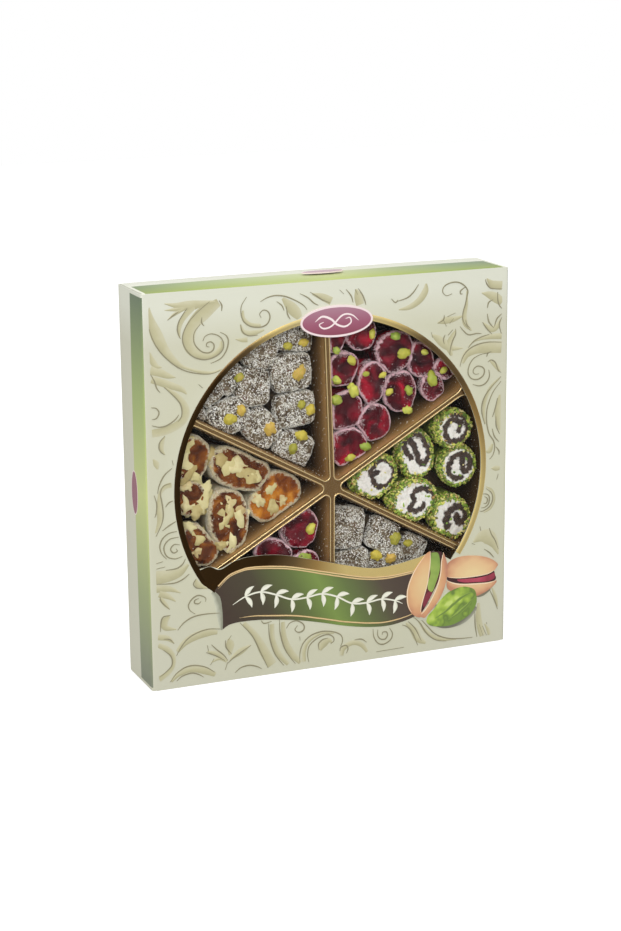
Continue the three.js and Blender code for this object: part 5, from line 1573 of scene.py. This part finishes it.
# Powder and crumbs: sugar and starch lie on the sweets' shoulders, along the seams between them and in a few
# drifts, and crumbs lie loose in the cups. A drift is (across, up, radius).
LEAST_POWDER = 0.01
DRIFT_STRENGTH = 1.4
DRIFT_REACH = 2.0
POWDER_DRIFTS = [(12, 194, 5), (26, 188, 5), (36, 170, 5), (50, 179, 7), (62, 173, 8), (63, 163, 7),
                 (8, 145, 6), (30, 160, 4), (78, 170, 6), (-28, 84, 6), (-36, 80, 5), (13, 178, 4),
                 (22, 150, 4), (70, 165, 6), (18, 160, 5)]
starch = tinted_material("starch_powder", [(0.0, "#c2b798"), (0.5, "#ded6be"), (1.0, "#f3eedf")], 0.85)
grit = [granule(0.9, 0.8, 0.6, 7), granule(0.6, 0.5, 0.5, 8)]
for label, pieces, material, density, sizes, reach, seed in (
        ("slice_powder", slices, sugar, 3.4, (0.4, 0.95), 1.7, 31),
        ("roll_powder", walnut_rolls, starch, 2.5, (0.4, 0.95), 2.0, 32)):
    for piece, _ in pieces:
        covers = piece.data.attributes["cover"].data
        for i, value in enumerate(piece.data.attributes["rim"].data):
            spot = piece.data.vertices[i].co / MM
            drift = max(1.0 - math.hypot(spot.x - x, spot.z - z) / radius for x, z, radius in POWDER_DRIFTS)
            inward = value.value / reach
            covers[i].value *= max(LEAST_POWDER, 1.0 - inward,
                                   min(DRIFT_STRENGTH * drift, DRIFT_REACH - inward))
    scatter(label, [piece.data for piece, _ in pieces], grit, material,
            density=density, sizes=sizes, tilt=0.8, seed=seed, lift=0.1)

scatter("cup_crumbs", [tray.data], grit, starch,
        density=0.05, sizes=(0.35, 1.2), tilt=0.8, seed=33, lift=0.1)

# Studio: a plain pale sweep with three soft lights, from the left front, from above and from the left, and
# the camera at the photograph's place, a long lens a little above the carton and to its left.
PHOTO_HEIGHT = 931
SENSOR = 36.0
FOCAL_PIXELS = 2099.887
CAMERA_YAW = -0.3889
CAMERA_PITCH = 0.24531
CAMERA_ROLL = -0.01016
CAMERA_DISTANCE = 1287.036
CAMERA_TARGET = (-5.4015, 0.0, 122.6293)
FLOOR_HALF = 3000.0
FLOOR_DROP = 0.3
AMBIENT = 0.8
BACKDROP = 1.0
FLOOR_GLOW = 0.8

back = Vector((math.sin(CAMERA_YAW) * math.cos(CAMERA_PITCH), -math.cos(CAMERA_YAW) * math.cos(CAMERA_PITCH),
               math.sin(CAMERA_PITCH)))
level_right = Vector((0, 0, 1)).cross(back).normalized()
level_up = back.cross(level_right)
c, s = math.cos(CAMERA_ROLL), math.sin(CAMERA_ROLL)
camera_right = c * level_right + s * level_up
camera_up = -s * level_right + c * level_up
camera = bpy.data.objects.new("camera", bpy.data.cameras.new("camera"))
bpy.context.collection.objects.link(camera)
camera.matrix_world = Matrix.Translation((Vector(CAMERA_TARGET) + back * CAMERA_DISTANCE) * MM) @ Matrix(
    (camera_right, camera_up, back)).transposed().to_4x4()
camera.data.sensor_width = SENSOR
camera.data.lens = FOCAL_PIXELS * SENSOR / PHOTO_HEIGHT
bpy.context.scene.camera = camera

floor_material, floor_tree, floor_shader, floor_place = new_material("white_paper_sweep", 0.8)
floor_grain = add_node(floor_tree, "ShaderNodeTexNoise",
                       {"Vector": floor_place, "Scale": 1 / (90 * MM), "Detail": 2.0})
floor_tone = add_node(floor_tree, "ShaderNodeValToRGB", {0: floor_grain},
                      stops=[(0.3, "#a8a8a8"), (0.7, "#acacac")])
floor_seen = add_node(floor_tree, "ShaderNodeLightPath").outputs["Is Camera Ray"]
floor_glow = add_node(floor_tree, "ShaderNodeMapRange", {0: floor_seen, 3: 0.0, 4: FLOOR_GLOW})
feed(floor_tree, floor_shader, {"Base Color": floor_tone, "Emission Strength": floor_glow,
                                "Emission Color": linear("#ffffff")})
floor_mesh = bpy.data.meshes.new("floor")
floor_mesh.from_pydata([(x * FLOOR_HALF * MM, y * FLOOR_HALF * MM, -FLOOR_DROP * MM) for x, y in
                        ((-1, -1), (1, -1), (1, 1), (-1, 1))], [], [(0, 1, 2, 3)])
floor_mesh.materials.append(floor_material)
floor = bpy.data.objects.new("floor", floor_mesh)
bpy.context.collection.objects.link(floor)


def soft_box(name, place, aim, size, power):
    """A square soft light at a place, aimed at a point; metres and watts."""
    light = bpy.data.lights.new(name, "AREA")
    light.shape = "RECTANGLE"
    light.size, light.size_y = size
    light.energy = power
    lamp = bpy.data.objects.new(name, light)
    lamp.location = place
    lamp.rotation_euler = (Vector(aim) - Vector(place)).to_track_quat("-Z", "Y").to_euler()
    bpy.context.collection.objects.link(lamp)


soft_box("front_box", (-0.6, -1.7, 1.1), (0, 0, 0.12), (0.8, 0.8), 18)
soft_box("top_box", (0.1, -0.2, 1.6), (0, 0, 0.12), (1.0, 1.0), 8)
soft_box("left_box", (-1.7, -0.1, 0.5), (0, 0, 0.12), (0.8, 1.0), 5.5)

world = bpy.data.worlds.new("studio")
bpy.context.scene.world = world
world.use_nodes = True
sky = world.node_tree.nodes["Background"]
seen = add_node(world.node_tree, "ShaderNodeLightPath").outputs["Is Camera Ray"]
strength = add_node(world.node_tree, "ShaderNodeMapRange", {0: seen, 3: AMBIENT, 4: BACKDROP})
feed(world.node_tree, sky, {"Color": linear("#ffffff"), "Strength": strength})
bpy.context.scene.view_settings.view_transform = "Standard"
